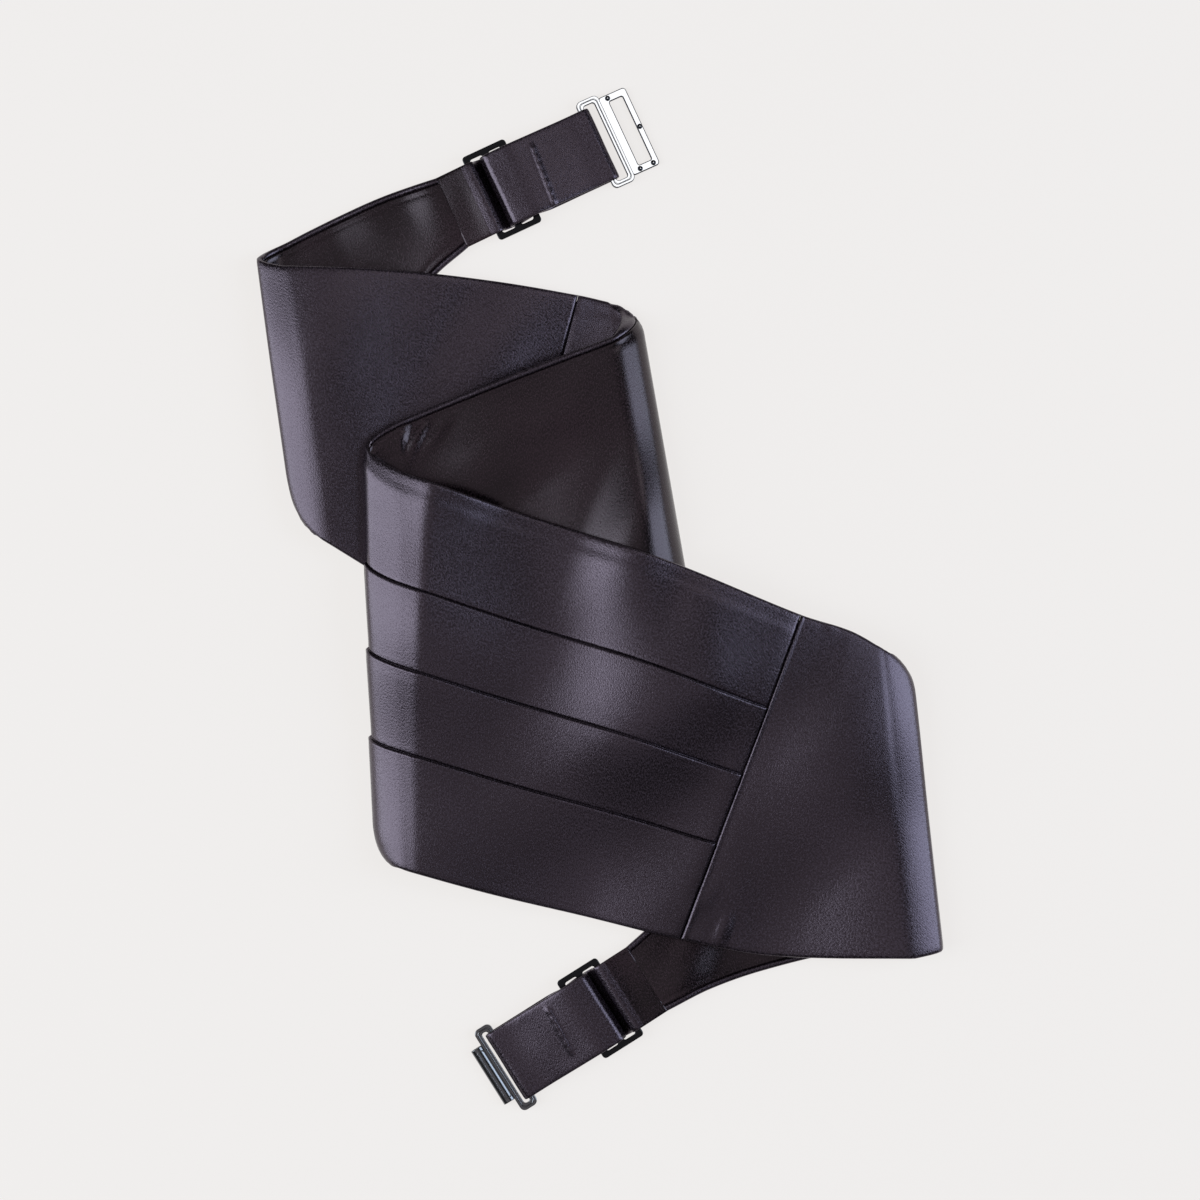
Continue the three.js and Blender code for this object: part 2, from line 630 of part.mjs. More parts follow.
const eyeRows = rowsBetween(0, seam1 - stepOfLength(seam1 - 1, seamGap));
const frontFrom = seam1 + stepOfLength(seam1, seamGap);
const frontRows = rowsBetween(frontFrom, seam2 - stepOfLength(seam2 - 1, seamGap));
const hookRows = rowsBetween(seam2 + stepOfLength(seam2, seamGap), bandEnd);
const liningRows = [...eyeRows, ...frontRows, ...hookRows];
addMesh(cummerbund, "side_panel_eye", bandGeometry(eyeRows, plainSatin), satin);
addMesh(cummerbund, "pleated_front", bandGeometry(frontRows, pleatedSatin), satin);
addMesh(cummerbund, "side_panel_hook", bandGeometry(hookRows, plainSatin), satin);
addMesh(cummerbund, "lining", bandGeometry(liningRows, liningRing), liningSatin);

// Both straps and their fittings: where they start, their direction in degrees, and the
// clasp that each one carries
const CLASP_REACH = EYE_RING + EYE_PLATE - RING_BAR;
const EYE_TILT = Math.asin((CLASP_HEIGHT - RING_SHEET / 2) / CLASP_REACH);
const STRAPS = [
  { name: "eye", root: 0, turn: SECTIONS[0].lean, clasp: eyeGeometry, tilt: EYE_TILT },
  {
    name: "hook", root: bandEnd, turn: SECTIONS[bandEnd].lean + 180, clasp: hookGeometry, tilt: 0,
  },
];
STRAPS.forEach(({ name, root, turn, clasp, tilt }) => {
  const group = new THREE.Group();
  const start = middle(root, 0);
  group.rotation.z = THREE.MathUtils.degToRad(turn);
  const reach = new THREE.Vector3(ROOT_TO_SLIDER, 0, 0).applyEuler(group.rotation);
  group.position.set(start.x + reach.x, start.y + reach.y, 0);
  addMesh(group, `strap_${name}`, strapGeometry(), satin);
  addMesh(group, `slider_${name}`, sliderGeometry(), blackMetal).position.z = SLIDER_HEIGHT;
  const fitting = addMesh(group, `clasp_${name}`, clasp(), brightMetal);
  fitting.position.set(SLIDER_TO_CLASP, 0, CLASP_HEIGHT);
  fitting.rotation.y = tilt;
  cummerbund.add(group);
});

// The layout's middle stands over the origin
cummerbund.updateMatrixWorld(true);
const extent = new THREE.Box3().setFromObject(cummerbund, true);
const centre = extent.getCenter(new THREE.Vector3());
cummerbund.position.set(-centre.x, -centre.y, -extent.min.z);

export default cummerbund;
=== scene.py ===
"""The looks of a pleated satin cummerbund that lies folded to and fro, seen from straight above."""
import math

import bmesh
import bpy
import numpy as np
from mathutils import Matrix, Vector


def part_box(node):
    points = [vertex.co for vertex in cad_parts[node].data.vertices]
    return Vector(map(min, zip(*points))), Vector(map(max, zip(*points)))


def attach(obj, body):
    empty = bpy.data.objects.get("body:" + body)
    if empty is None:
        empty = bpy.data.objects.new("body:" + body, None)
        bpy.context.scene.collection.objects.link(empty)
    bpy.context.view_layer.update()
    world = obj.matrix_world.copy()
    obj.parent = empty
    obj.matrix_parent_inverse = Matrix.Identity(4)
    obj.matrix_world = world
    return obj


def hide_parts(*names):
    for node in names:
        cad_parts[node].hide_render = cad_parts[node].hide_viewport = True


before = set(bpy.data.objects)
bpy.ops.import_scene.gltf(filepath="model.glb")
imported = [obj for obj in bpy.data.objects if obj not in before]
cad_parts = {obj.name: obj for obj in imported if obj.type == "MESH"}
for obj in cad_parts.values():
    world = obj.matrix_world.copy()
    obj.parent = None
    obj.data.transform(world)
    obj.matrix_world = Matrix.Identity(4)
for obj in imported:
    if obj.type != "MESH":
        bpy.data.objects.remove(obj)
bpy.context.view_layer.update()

MM = 0.001

# Sizes of the layout, in millimetres, as in the model
LAY_WIDTH = 225
LAY_LENGTH = 336
FOLD_REACH = 9
FOLD_RISE = 6
DRAPE = 45  # over which a panel sinks beyond the edge of what it lies on
STIFF_DRAPE = 85  # the same for the pleated front, which is stiffer
LAYER_GAP = 0.8
FRONT_HEIGHT = 129
STRAP_WIDTH = 25
OUTER_CLOTH = 1.2
LINING_CLOTH = 1
CLOTH_GAP = 0.3
TURNED_EDGE = 2
PLEAT_RISE = 0.9
STRAP_CLOTH = 1.1
STRAP_GAP = 0.3
STRAP_LIFT = 0.1
ROOT_TO_SLIDER = 18
SLIDER_TO_CLASP = 34.6
BAR = 2.2
SLIDER_SLOT = 4.45
SLIDER_SHEET = 1.4
SIDE_PLAY = 0.3
RING_BAR = 2
RING_SHEET = 1.6
RING_SIDE = 1
EYE_RING = 8
EYE_PLATE = 9.5
EYE_SLOT = 4.8
EYE_SLOT_WIDTH = 23
EYE_WIDTH = 28
HOOK_RING = 6.2
HOOK_REACH = 4
HOOK_WIDTH = 20.6
HOOK_SHEET = 0.9
HOOK_GAPE = 1

OUTER_REACH = CLOTH_GAP / 2 + OUTER_CLOTH
INNER_REACH = CLOTH_GAP / 2 + LINING_CLOTH
FRONT_REACH = OUTER_REACH + PLEAT_RISE
STRAP_SHARE = STRAP_WIDTH / FRONT_HEIGHT

# Sections across the band: name, panel, middle as shares of the layout's width and length,
# lean in degrees, length as a share of the front's height
SECTIONS = [
    ("eye_root", "A", -0.216, 0.379, 25, STRAP_SHARE),
    ("eye_taper_3", "A", -0.28, 0.354, 25.5, 0.249),
    ("eye_taper_2", "A", -0.343, 0.31, 20.9, 0.372),
    ("eye_taper_1", "A", -0.395, 0.264, 12.5, 0.521),
    ("fold_1_below", "A", -0.437, 0.228, 7.3, 0.641),
    ("fold_1_above", "B", -0.432, 0.192, 7.9, 0.701),
    ("side_b", "B", -0.298, 0.166, 3.2, 0.815),
    ("side_b_2", "B", -0.197, 0.151, -5.1, 0.852),
    ("seam_1", "B", -0.096, 0.136, -14.8, 0.878),
    ("fold_2_below", "B", 0.056, 0.119, 9.6, 0.916),
    ("fold_2_above", "C", 0.061, 0.084, 9.6, 0.908),
    ("front_c", "C", -0.052, 0.046, 7.2, 0.964),
    ("front_c_2", "C", -0.17, 0.006, 3.7, 1.026),
    ("fold_3_below", "C", -0.283, -0.033, 0.7, 1.086),
    ("fold_3_above", "D", -0.285, -0.069, 0.6, 1.011),
    ("front_d", "D", -0.128, -0.103, -4.3, 0.969),
    ("front_d_2", "D", 0.038, -0.135, -10.6, 0.933),
    ("seam_2", "D", 0.204, -0.173, -20.3, 0.881),
    ("side_d", "D", 0.306, -0.189, -13.8, 0.852),
    ("fold_4_above", "D", 0.435, -0.199, 5.5, 0.787),
    ("fold_4_below", "E", 0.434, -0.215, 6.4, 0.666),
    ("hook_taper_1", "E", 0.321, -0.259, 12.1, 0.465),
    ("hook_taper_2", "E", 0.209, -0.308, 21.9, 0.308),
    ("hook_taper_3", "E", 0.125, -0.345, 31.4, 0.226),
    ("hook_root", "E", 0.068, -0.371, 32.2, STRAP_SHARE),
]

# Folds: the section before the loop, the side it stands out to, its reach, its lift, the way
# over which the lift fades, how far inward its crown lies, the tilt of the cloth up to there,
# the way over which its ends round off, whether it ends (1) or starts (0) high, and how round
# its upper half is. A pair gives the values at the lower and the upper end.
FOLDS = [
    dict(at="fold_1_below", side=-1, reach=(0.86, 0.9), lift=0.9, fade=0.6, crown=(3, 0.5),
         tilt=(0.12, 0.24), corner=(16, 0), upper=1, round=(0.72, 0.45)),
    dict(at="fold_2_below", side=1, reach=(1.1, 1.02), lift=1, fade=0.6, crown=(1.5, 1),
         tilt=(0.08, 0.1), corner=(0, 6), upper=1, round=(0.94, 0.94)),
    dict(at="fold_3_below", side=-1, reach=(1.1, 1.2), lift=1.15, fade=0.5, crown=(4, 14),
         tilt=(0.14, 0.42), corner=(12, 0), upper=1, round=(0.85, 0.12)),
    dict(at="fold_4_above", side=1, reach=(1, 0.94), lift=0.9, fade=0.4, crown=(2, 2),
         tilt=(0.14, 0.2), corner=(0, 10), upper=0, round=(0.6, 0.65)),
]
CORNER_LEAST = 0.4  # share of a loop's reach that is left at a rounded end
DROP_MOST = 0.8  # most that a loop's upper half falls, as a share of its whole height
CROWN_EVEN = 0.55  # share of the way to the crown over which the tilt stays even

# Pleats: from and to as shares of the band's height from its upper edge, and their rise
PLEATS = [(0, 0.285, 0.3), (0.285, 0.49, 1), (0.49, 0.704, 1), (0.704, 1, 1)]


# The band's middle surface

def smooth(x):
    x = np.clip(x, 0, 1)
    return x * x * (3 - 2 * x)


NAMES = [row[0] for row in SECTIONS]
PANELS = [row[1] for row in SECTIONS]
MIDDLES = np.array([[row[2] * LAY_WIDTH, row[3] * LAY_LENGTH] for row in SECTIONS])
LEANS = np.radians([row[4] for row in SECTIONS])
HALVES = np.array([row[5] for row in SECTIONS])[:, None] * FRONT_HEIGHT / 2
UPS = np.stack([-np.sin(LEANS), np.cos(LEANS)], axis=1)
EDGES = {"top": MIDDLES + UPS * HALVES, "low": MIDDLES - UPS * HALVES}
LAST = len(SECTIONS) - 1


def top_of(name):
    return EDGES["top"][NAMES.index(name)]


def low_of(name):
    return EDGES["low"][NAMES.index(name)]


def blend(low, high, share):
    return low + (high - low) * share


def right_of(points, start, end):
    way = (end - start) / np.linalg.norm(end - start)
    off = points - start
    return off[:, 0] * way[1] - off[:, 1] * way[0]


def covered(points, edges, drape=DRAPE):
    share = np.ones(len(points))
    for start, end in edges:
        share = share * (1 - smooth(right_of(points, start, end) / drape))
    return share


for fold in FOLDS:
    index = NAMES.index(fold["at"])
    fold["index"] = index
    fold["top_at"] = (EDGES["top"][index] + EDGES["top"][index + 1]) / 2
    fold["low_at"] = (EDGES["low"][index] + EDGES["low"][index + 1]) / 2
    up = fold["top_at"] - fold["low_at"]
    fold["long"] = np.linalg.norm(up)
    fold["up"] = up / fold["long"]
    fold["out"] = np.array([fold["up"][1], -fold["up"][0]]) * fold["side"]


def crown_dip(share):
    """How far the cloth lies below the crown, for each unit of tilt and way to the crown."""
    even = np.maximum(CROWN_EVEN - share, 0)
    rest = np.clip((share - CROWN_EVEN) / (1 - CROWN_EVEN), 0, 1)
    return even + (1 - CROWN_EVEN) * (0.5 - rest + rest ** 3 - rest ** 4 / 2)


def round_off(fold, up):
    """Share of a loop's reach, less towards its rounded ends."""
    low, top = fold["corner"]
    share = np.ones(len(up))
    for way, distance in ((top, 1 - up), (low, up)):
        if way:
            near = 1 - np.clip(distance * fold["long"] / way, 0, 1)
            share = share * (CORNER_LEAST + (1 - CORNER_LEAST) * np.sqrt(1 - near ** 2))
    return share


def spring_of(number, points, crowned=True):
    """How far a loop lifts the cloth beside it, which tilts down again beyond its crown."""
    fold = FOLDS[number]
    inward = -(points - fold["low_at"]) @ fold["out"]
    share = np.clip(inward / (fold["fade"] * FRONT_HEIGHT), 0, 1)
    rise = FOLD_RISE * fold["lift"] * (1 + np.cos(np.pi * share)) / 2
    if not crowned:
        return rise
    up = np.clip((points - fold["low_at"]) @ fold["up"] / fold["long"], 0, 1)
    crown = blend(*fold["crown"], up ** 2)
    tilt = blend(*fold["tilt"], up)
    return rise - tilt * crown * crown_dip(np.clip(inward / crown, 0, 1))


STEP_LINED = 2 * INNER_REACH + LAYER_GAP
STEP_PLEATED = 2 * FRONT_REACH + LAYER_GAP
LOOP_2 = FOLDS[1]["out"] * FOLD_REACH * FOLDS[1]["reach"][0]
EDGE_OF_A = [(low_of("fold_1_below"), low_of("eye_taper_3"))]
EDGES_OF_B = [
    (low_of("fold_1_above"), low_of("seam_1")),
    (low_of("seam_1"), low_of("fold_2_below")),
]
EDGES_OF_C = [
    (low_of("fold_3_below"), low_of("fold_2_above")),
    (FOLDS[1]["low_at"] + LOOP_2, FOLDS[1]["top_at"] + LOOP_2),
]
EDGES_OF_E = [(top_of("fold_4_below"), top_of("hook_taper_3"))]


# Soft swells of the lying cloth: panel, middle in millimetres from the layout's middle,
# direction of the ridge in degrees, half its length, half its width, and its height
SWELLS = [
    ("A", -78, 128, -60, 28, 14, 0.9),
    ("A", -56, 138, -65, 24, 11, 0.7),
    ("A", -48.6, 127.3, 115, 60, 32, 2.4),
    ("B", -94, 80, 75, 60, 32, 2.4),
    ("B", -34, 78, 60, 50, 22, 2.6),
    ("C", -34, 48, 35, 44, 19, 3),
    ("C", 14, 22, 70, 48, 20, 2.8),
    ("D", 13, -32, 48, 105, 33, 2.2),
    ("D", 66, -66, 48, 105, 30, 2.2),
    ("E", 30, -118, 60, 24, 10, 0.9),
    ("E", 15.3, -124.7, 122, 60, 32, 2.4),
]

# Short wrinkles, in the same columns
WRINKLES = [
    ("C", -74, 49.5, 104, 8, 2.2, 0.9),
    ("C", -69.5, 50.5, 92, 9, 2.3, 1),
    ("C", -65, 51.5, 78, 10, 2.3, 0.95),
    ("C", -60, 52, 62, 10, 2.5, 0.85),
    ("C", -54, 53, 50, 11, 2.8, 0.6),
    ("D", 73, -4.5, -60, 9, 2.6, 0.5),
    ("D", 40.5, -108, 68, 8, 2.2, 0.9),
    ("D", 33, -99, 55, 12, 4, 0.35),
]


def rises(table, panel, points):
    """Height of the swells or wrinkles of a panel at points of the layout."""
    total = np.zeros(len(points))
    for where, x, y, turn, long, wide, rise in table:
        if where != panel:
            continue
        way = np.array([math.cos(math.radians(turn)), math.sin(math.radians(turn))])
        off = points - np.array([x, y])
        ahead = np.clip(np.abs(off @ way) / long, 0, 1)
        aside = np.clip(np.abs(off[:, 1] * way[0] - off[:, 0] * way[1]) / wide, 0, 1)
        total += rise * (np.cos(np.pi * ahead / 2) * np.cos(np.pi * aside / 2)) ** 2
    return total


def height_of(panel, points, crowned=True):
    """Height of a panel's middle surface, for a panel that lies on it without its crowns."""
    if panel in "AE":
        return OUTER_REACH + rises(SWELLS, panel, points)
    if panel == "B":
        on_a = blend(INNER_REACH, OUTER_REACH + STEP_LINED, covered(points, EDGE_OF_A))
        return on_a + spring_of(0, points, crowned) + rises(SWELLS, "B", points)
    if panel == "C":
        on_b = height_of("B", points, False) + STEP_PLEATED
        rest = blend(FRONT_REACH, on_b, covered(points, EDGES_OF_B, STIFF_DRAPE))
        return rest + spring_of(1, points, crowned) + rises(SWELLS, "C", points)
    ground = blend(INNER_REACH, OUTER_REACH + STEP_LINED, covered(points, EDGES_OF_E))
    on_c = height_of("C", points, False) + STEP_LINED
    rest = blend(ground, on_c, covered(points, EDGES_OF_C, STIFF_DRAPE)) + rises(SWELLS, "D", points)
    return rest + spring_of(2, points) + spring_of(3, points)


def lie_of(panel, points):
    return height_of(panel, points) + rises(WRINKLES, panel, points)


def along_edge(edge, index, share):
    """A smooth curve through the ends of the sections of one panel."""
    ends = EDGES[edge]
    start, end = ends[index], ends[index + 1]
    before = ends[index - 1] if index > 0 and PANELS[index - 1] == PANELS[index] else start
    inside = index + 2 <= LAST and PANELS[index + 2] == PANELS[index]
    after = ends[index + 2] if inside else end
    long = np.linalg.norm(end - start)
    slope_start = (end - before) * long / (long + np.linalg.norm(start - before))
    slope_end = (after - start) * long / (long + np.linalg.norm(after - end))
    s = share[:, None]
    return (
        start * (2 * s ** 3 - 3 * s ** 2 + 1)
        + slope_start * (s ** 3 - 2 * s ** 2 + s)
        + end * (3 * s ** 2 - 2 * s ** 3)
        + slope_end * (s ** 3 - s ** 2)
    )


def panel_points(index, share, up):
    low = along_edge("low", index, share)
    plan = low + (along_edge("top", index, share) - low) * up[:, None]
    return np.column_stack([plan, lie_of(PANELS[index], plan)])


def loop_points(fold, share, up):
    index = fold["index"]
    rise = up[:, None]
    start = blend(EDGES["low"][index], EDGES["top"][index], rise)
    end = blend(EDGES["low"][index + 1], EDGES["top"][index + 1], rise)
    height_start = lie_of(PANELS[index], start)
    height_end = lie_of(PANELS[index + 1], end)
    reach = FOLD_REACH * blend(*fold["reach"], up) * round_off(fold, up)
    turn = np.pi * share
    stand = np.clip(np.sin(turn), 0, 1)
    plan = blend(start, end, share[:, None]) + fold["out"] * (reach * stand)[:, None]
    near, high, low = share, height_end, height_start
    if not fold["upper"]:
        near, high, low = 1 - share, height_start, height_end
    bend = 1 - np.sqrt(1 - stand ** 2)
    curved = blend(*fold["round"], up)
    drop = blend(*fold["tilt"], up) * reach / (1 - curved)
    drop = np.minimum(drop, DROP_MOST * (high - low))
    upper = high - drop * blend(stand, bend, curved)
    under = low + (high - low - drop) * bend
    return np.column_stack([plan, np.where(near > 0.5, upper, under)])


def middle(along, across):
    """Points of the middle surface: along counts the sections, across runs from -1 to 1."""
    index = np.clip(np.floor(along).astype(int), 0, LAST - 1)
    share = along - index
    up = (across + 1) / 2
    points = np.zeros((len(along), 3))
    loops = {fold["index"]: fold for fold in FOLDS}
    for number in np.unique(index):
        here = index == number
        if number in loops:
            points[here] = loop_points(loops[number], share[here], up[here])
        else:
            points[here] = panel_points(number, share[here], up[here])
    return points


PROBE = 0.01  # step to either side, in sections or shares, from which a normal is taken


def normals(along, across):
    ahead = middle(np.minimum(along + PROBE, LAST), across)
    behind = middle(np.maximum(along - PROBE, 0), across)
    left = middle(along, across + PROBE)
    right = middle(along, across - PROBE)
    normal = np.cross(ahead - behind, left - right)
    return normal / np.linalg.norm(normal, axis=1)[:, None]


# Where the layout's middle stands, from the place of a slider that the frame gives

def strap_frame(root, turn):
    """The place and the direction of a strap, at the middle of its slider."""
    start = middle(np.array([float(root)]), np.array([0.0]))[0]
    way = np.array([math.cos(turn), math.sin(turn)])
    return start[:2] + way * ROOT_TO_SLIDER


TURN_EYE = math.radians(SECTIONS[0][4])
TURN_HOOK = math.radians(SECTIONS[LAST][4] + 180)
SIDES = (("eye", 0, TURN_EYE), ("hook", LAST, TURN_HOOK))
low_corner, high_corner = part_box("slider_eye")
SHIFT = np.array((low_corner + high_corner)[:2]) / 2 / MM - strap_frame(0, TURN_EYE)


def placed(points):
    """Points of the layout in the frame, in metres."""
    moved = np.array(points, float)
    moved[:, :2] += SHIFT
    return moved * MM


# Meshes

def mesh_object(name, points, faces, uv=None, smooth_faces=True):
    mesh = bpy.data.meshes.new(name)
    mesh.from_pydata([tuple(p) for p in points], [], [tuple(f) for f in faces])
    mesh.validate()
    if smooth_faces:
        mesh.polygons.foreach_set("use_smooth", [True] * len(mesh.polygons))
    if uv is not None:
        layer = mesh.uv_layers.new(name="cloth")
        corners = np.zeros(len(mesh.loops), int)
        mesh.loops.foreach_get("vertex_index", corners)
        layer.data.foreach_set("uv", np.asarray(uv)[corners].ravel())
    mesh.update()
    made = bpy.data.objects.new(name, mesh)
    bpy.context.scene.collection.objects.link(made)
    return made


def ring_faces(rows, count):
    """The sides of a tube, from the numbers of its rings and of the points in each."""
    i = np.arange(count)
    j = (i + 1) % count
    bases = [(row * count, (row + 1) * count) for row in range(rows - 1)]
    return np.vstack([np.column_stack([i + a, j + a, j + b, i + b]) for a, b in bases])


def rod_faces(rows, count, base=0):
    """Faces of a tube closed at both ends, whose points start at the base."""
    faces = [tuple(face) for face in (ring_faces(rows, count) + base).tolist()]
    faces.append(tuple(range(base + count - 1, base - 1, -1)))
    faces.append(tuple(range(base + (rows - 1) * count, base + rows * count)))
    return faces


def tube_mesh(name, points, rows, count, uv):
    """A closed tube whose faces look outward."""
    a, b, c, d = [points[column] for column in ring_faces(rows, count).T]
    volume = np.sum(a * np.cross(b, c) + a * np.cross(c, d))
    faces = rod_faces(rows, count)
    if volume < 0:
        faces = [face[::-1] for face in faces]
    return mesh_object(name, points, faces, uv)


# Rows along the band and the cloth's own coordinates

FINE_STEPS = 40  # for each section
FINE = np.linspace(0, LAST, FINE_STEPS * LAST + 1)
CENTRE_LINE = middle(FINE, np.zeros(len(FINE)))
LENGTHS = np.concatenate([[0], np.cumsum(np.linalg.norm(np.diff(CENTRE_LINE, axis=0), axis=1))])
FINE_WIDTHS = np.linalg.norm(
    middle(FINE, np.ones(len(FINE))) - middle(FINE, -np.ones(len(FINE))), axis=1)


def length_at(along):
    return np.interp(along, FINE, LENGTHS)


def along_at(length):
    return np.interp(length, LENGTHS, FINE)


def width_at(along):
    return np.interp(along, FINE, FINE_WIDTHS)


ROW_STEP = 1.25  # from one row of faces to the next
SEAM_ROWS = [0.05, 0.2, 0.4, 0.65, 1, 1.5, 2.2]  # closer rows beside a seam or an end
ROW_CLEAR = 0.5  # between them and the first even row


def rows_from(start, end):
    """Rows from one length along the band to another, closer at both ends."""
    count = max(2, int((end - start) / ROW_STEP))
    inner = np.linspace(start, end, count)
    near = [start + step for step in SEAM_ROWS] + [end - step for step in SEAM_ROWS]
    clear = SEAM_ROWS[-1] + ROW_CLEAR
    keep = inner[(inner > start + clear) & (inner < end - clear)]
    return np.sort(np.concatenate([[start], near, keep, [end]]))


def cloth_points(lengths, profile, relief=None):
    """Rings of the profile (share from the upper edge, offset down, height) at each length."""
    share, offset, above = [np.array(column, float) for column in zip(*profile)]
    count = len(share)
    rows = len(lengths)
    long = np.repeat(lengths, count)
    along = np.repeat(along_at(lengths), count)
    width = width_at(along)
    across = 1 - 2 * np.tile(share, rows) - 2 * np.tile(offset, rows) / width
    lift = np.tile(above, rows)
    if relief:
        lift = lift + relief(long, lift)
    points = middle(along, across) + normals(along, across) * lift[:, None]
    uv = np.column_stack([long, across * width / 2])
    return points, rows, count, uv


# Cross-sections of the band

COLUMN_STEP = 1.4  # from one column of faces to the next
HIDDEN_COLUMNS = (0.75, 0.5, 0.25)  # of the side that never shows, as shares of the width
EDGE_MIDDLE = (OUTER_REACH - INNER_REACH) / 2
EDGE_HALF = (OUTER_REACH + INNER_REACH) / 2

# The pressed edge: offset from the edge, and share of half the band's thickness
EDGE = [(0, 0), (0.04, 0.3), (0.12, 0.56), (0.28, 0.76), (0.6, 0.89), (1.2, 0.96), (2.4, 1)]
EDGE_RUN = EDGE[-1][0] + COLUMN_STEP

# The hem turned over the lining: offset from the edge, and height
HEM = [
    (TURNED_EDGE * 0.85, -INNER_REACH * 0.88), (TURNED_EDGE, -INNER_REACH * 0.6),
    (TURNED_EDGE, CLOTH_GAP / 2),
]


def face_edge(share, sign):
    """The satin's face, from its even part out to the edge."""
    return [(share, sign * off, EDGE_MIDDLE + EDGE_HALF * part) for off, part in reversed(EDGE)]


def back_edge(share, sign):
    """From the edge in to the end of the hem."""
    return [(share, sign * off, EDGE_MIDDLE - EDGE_HALF * part)
            for off, part in EDGE[1:] if off < TURNED_EDGE]


def spread(start, end, first, last, height):
    """Points across the band between two offsets from its edges."""
    count = int(FRONT_HEIGHT * (end - start) / COLUMN_STEP)
    return [(blend(start, end, s), blend(first, last, s), height)
            for s in np.linspace(0, 1, count + 1)]


def satin_back():
    """The hem at the lower edge, the hidden back and the hem at the upper edge."""
    low = [(1, -offset, height) for offset, height in HEM]
    top = [(0, offset, height) for offset, height in reversed(HEM)]
    hidden = [(share, 0, CLOTH_GAP / 2) for share in HIDDEN_COLUMNS]
    return back_edge(1, -1) + low + hidden + top + back_edge(0, 1)[::-1]


def plain_profile():
    face = face_edge(0, 1)[::-1] + spread(0, 1, EDGE_RUN, -EDGE_RUN, OUTER_REACH)
    return face + face_edge(1, -1) + satin_back()


# The folded edge of a pleat: offset down from its line, and height as a share of a pleat's
# rise. Shares below zero reach into the groove under it.
PLEAT_LIP = [
    (-1.1, 0), (-0.7, -0.06), (-0.5, -0.35), (-0.32, -0.75), (-0.06, -0.75), (-0.02, 0.15),
    (-0.2, 0.45), (-0.14, 0.72), (0.04, 0.92), (0.35, 1.02), (0.8, 1), (1.6, 0.96),
]
CLIMB_COLUMNS = 3  # over which the upper edge's pleat gains its height


def pleated_profile():
    face = []
    for number, (start, end, rise) in enumerate(PLEATS):
        edge = PLEAT_RISE * rise
        if number:
            face += [(start, offset, OUTER_REACH + share * PLEAT_RISE) for offset, share in PLEAT_LIP]
            first = PLEAT_LIP[-1][0] + COLUMN_STEP
            edge = edge * PLEAT_LIP[-1][1]
        else:
            face += face_edge(0, 1)[::-1]
            first = EDGE_RUN
        last = -EDGE_RUN if end == 1 else PLEAT_LIP[0][0] - COLUMN_STEP
        run = spread(start, end, first, last, 0)
        for i, (share, offset, _) in enumerate(run):
            fall = i / (len(run) - 1)
            climb = 1 if number else smooth(i / CLIMB_COLUMNS)
            face.append((share, offset, OUTER_REACH + edge * (1 - fall) * climb))
    return face + face_edge(1, -1) + satin_back()


# The lining's edge, a small roll beside the hem: offset, and share of the lining's thickness
LINING_EDGE = [
    (TURNED_EDGE + 0.1, -0.2), (TURNED_EDGE + 0.06, 0.5), (TURNED_EDGE + 0.15, 0.84),
    (TURNED_EDGE + 0.5, 1), (TURNED_EDGE + 1, 0.95), (TURNED_EDGE + 1.6, 0.84),
    (TURNED_EDGE + 2.4, 0.92), (TURNED_EDGE + 3.4, 1),
]


def lining_profile():
    edge = [(offset, -CLOTH_GAP / 2 - LINING_CLOTH * share) for offset, share in LINING_EDGE]
    first = LINING_EDGE[-1][0] + COLUMN_STEP
    top = [(0, offset, height) for offset, height in edge]
    face = spread(0, 1, first, -first, -INNER_REACH)
    low = [(1, -offset, height) for offset, height in reversed(edge)]
    hidden = [(share, 0, -CLOTH_GAP / 2) for share in HIDDEN_COLUMNS]
    return top + face + low + hidden


# Pieces of the band

SEAM_1 = float(length_at(NAMES.index("seam_1")))
SEAM_2 = float(length_at(NAMES.index("seam_2")))
BAND_LENGTH = float(LENGTHS[-1])
SEAM_GAP = 0.06
SEAM_DIP = 0.25  # by which the cloth lies lower at a seam
SEAM_WIDE = 2.2  # and how far from it
END_WIDE = 0.7  # over which a face rolls down at its ends
END_FALL = 0.95  # and by how much
ROLL_AT = 0.8  # from a seam to the roll beside it
ROLL_WIDE = 0.6


def satin_relief(start, end, seams, roll):
    """The face rolls down at both ends, and stands up in a small roll beside the seams."""
    def relief(lengths, above):
        near = np.clip(1 - np.minimum(lengths - start, end - lengths) / END_WIDE, 0, 1)
        lift = -END_FALL * (1 - np.sqrt(1 - near ** 2))
        for seam in seams:
            beside = np.abs(lengths - seam)
            lift += roll * np.exp(-((beside - ROLL_AT) / ROLL_WIDE) ** 2)
            lift -= SEAM_DIP * np.exp(-(beside / SEAM_WIDE) ** 2)
        return np.where(above > CLOTH_GAP, lift, 0)
    return relief


def add_satin(name, node, start, end, gaps, profile, seams, roll):
    """A satin piece from one seam or end to the next, with a gap at either."""
    first, last = start + gaps[0], end - gaps[1]
    relief = satin_relief(first, last, seams, roll)
    points, rows, count, uv = cloth_points(rows_from(first, last), profile, relief)
    made = tube_mesh(name, placed(points), rows, count, uv)
    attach(made, "root")
    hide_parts(node)
    made.data.materials.append(SATIN)


def add_lining():
    points, rows, count, uv = cloth_points(rows_from(0, BAND_LENGTH), lining_profile())
    made = tube_mesh("lining_cloth", placed(points), rows, count, uv)
    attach(made, "root")
    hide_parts("lining")
    made.data.materials.append(LINING)


# Materials

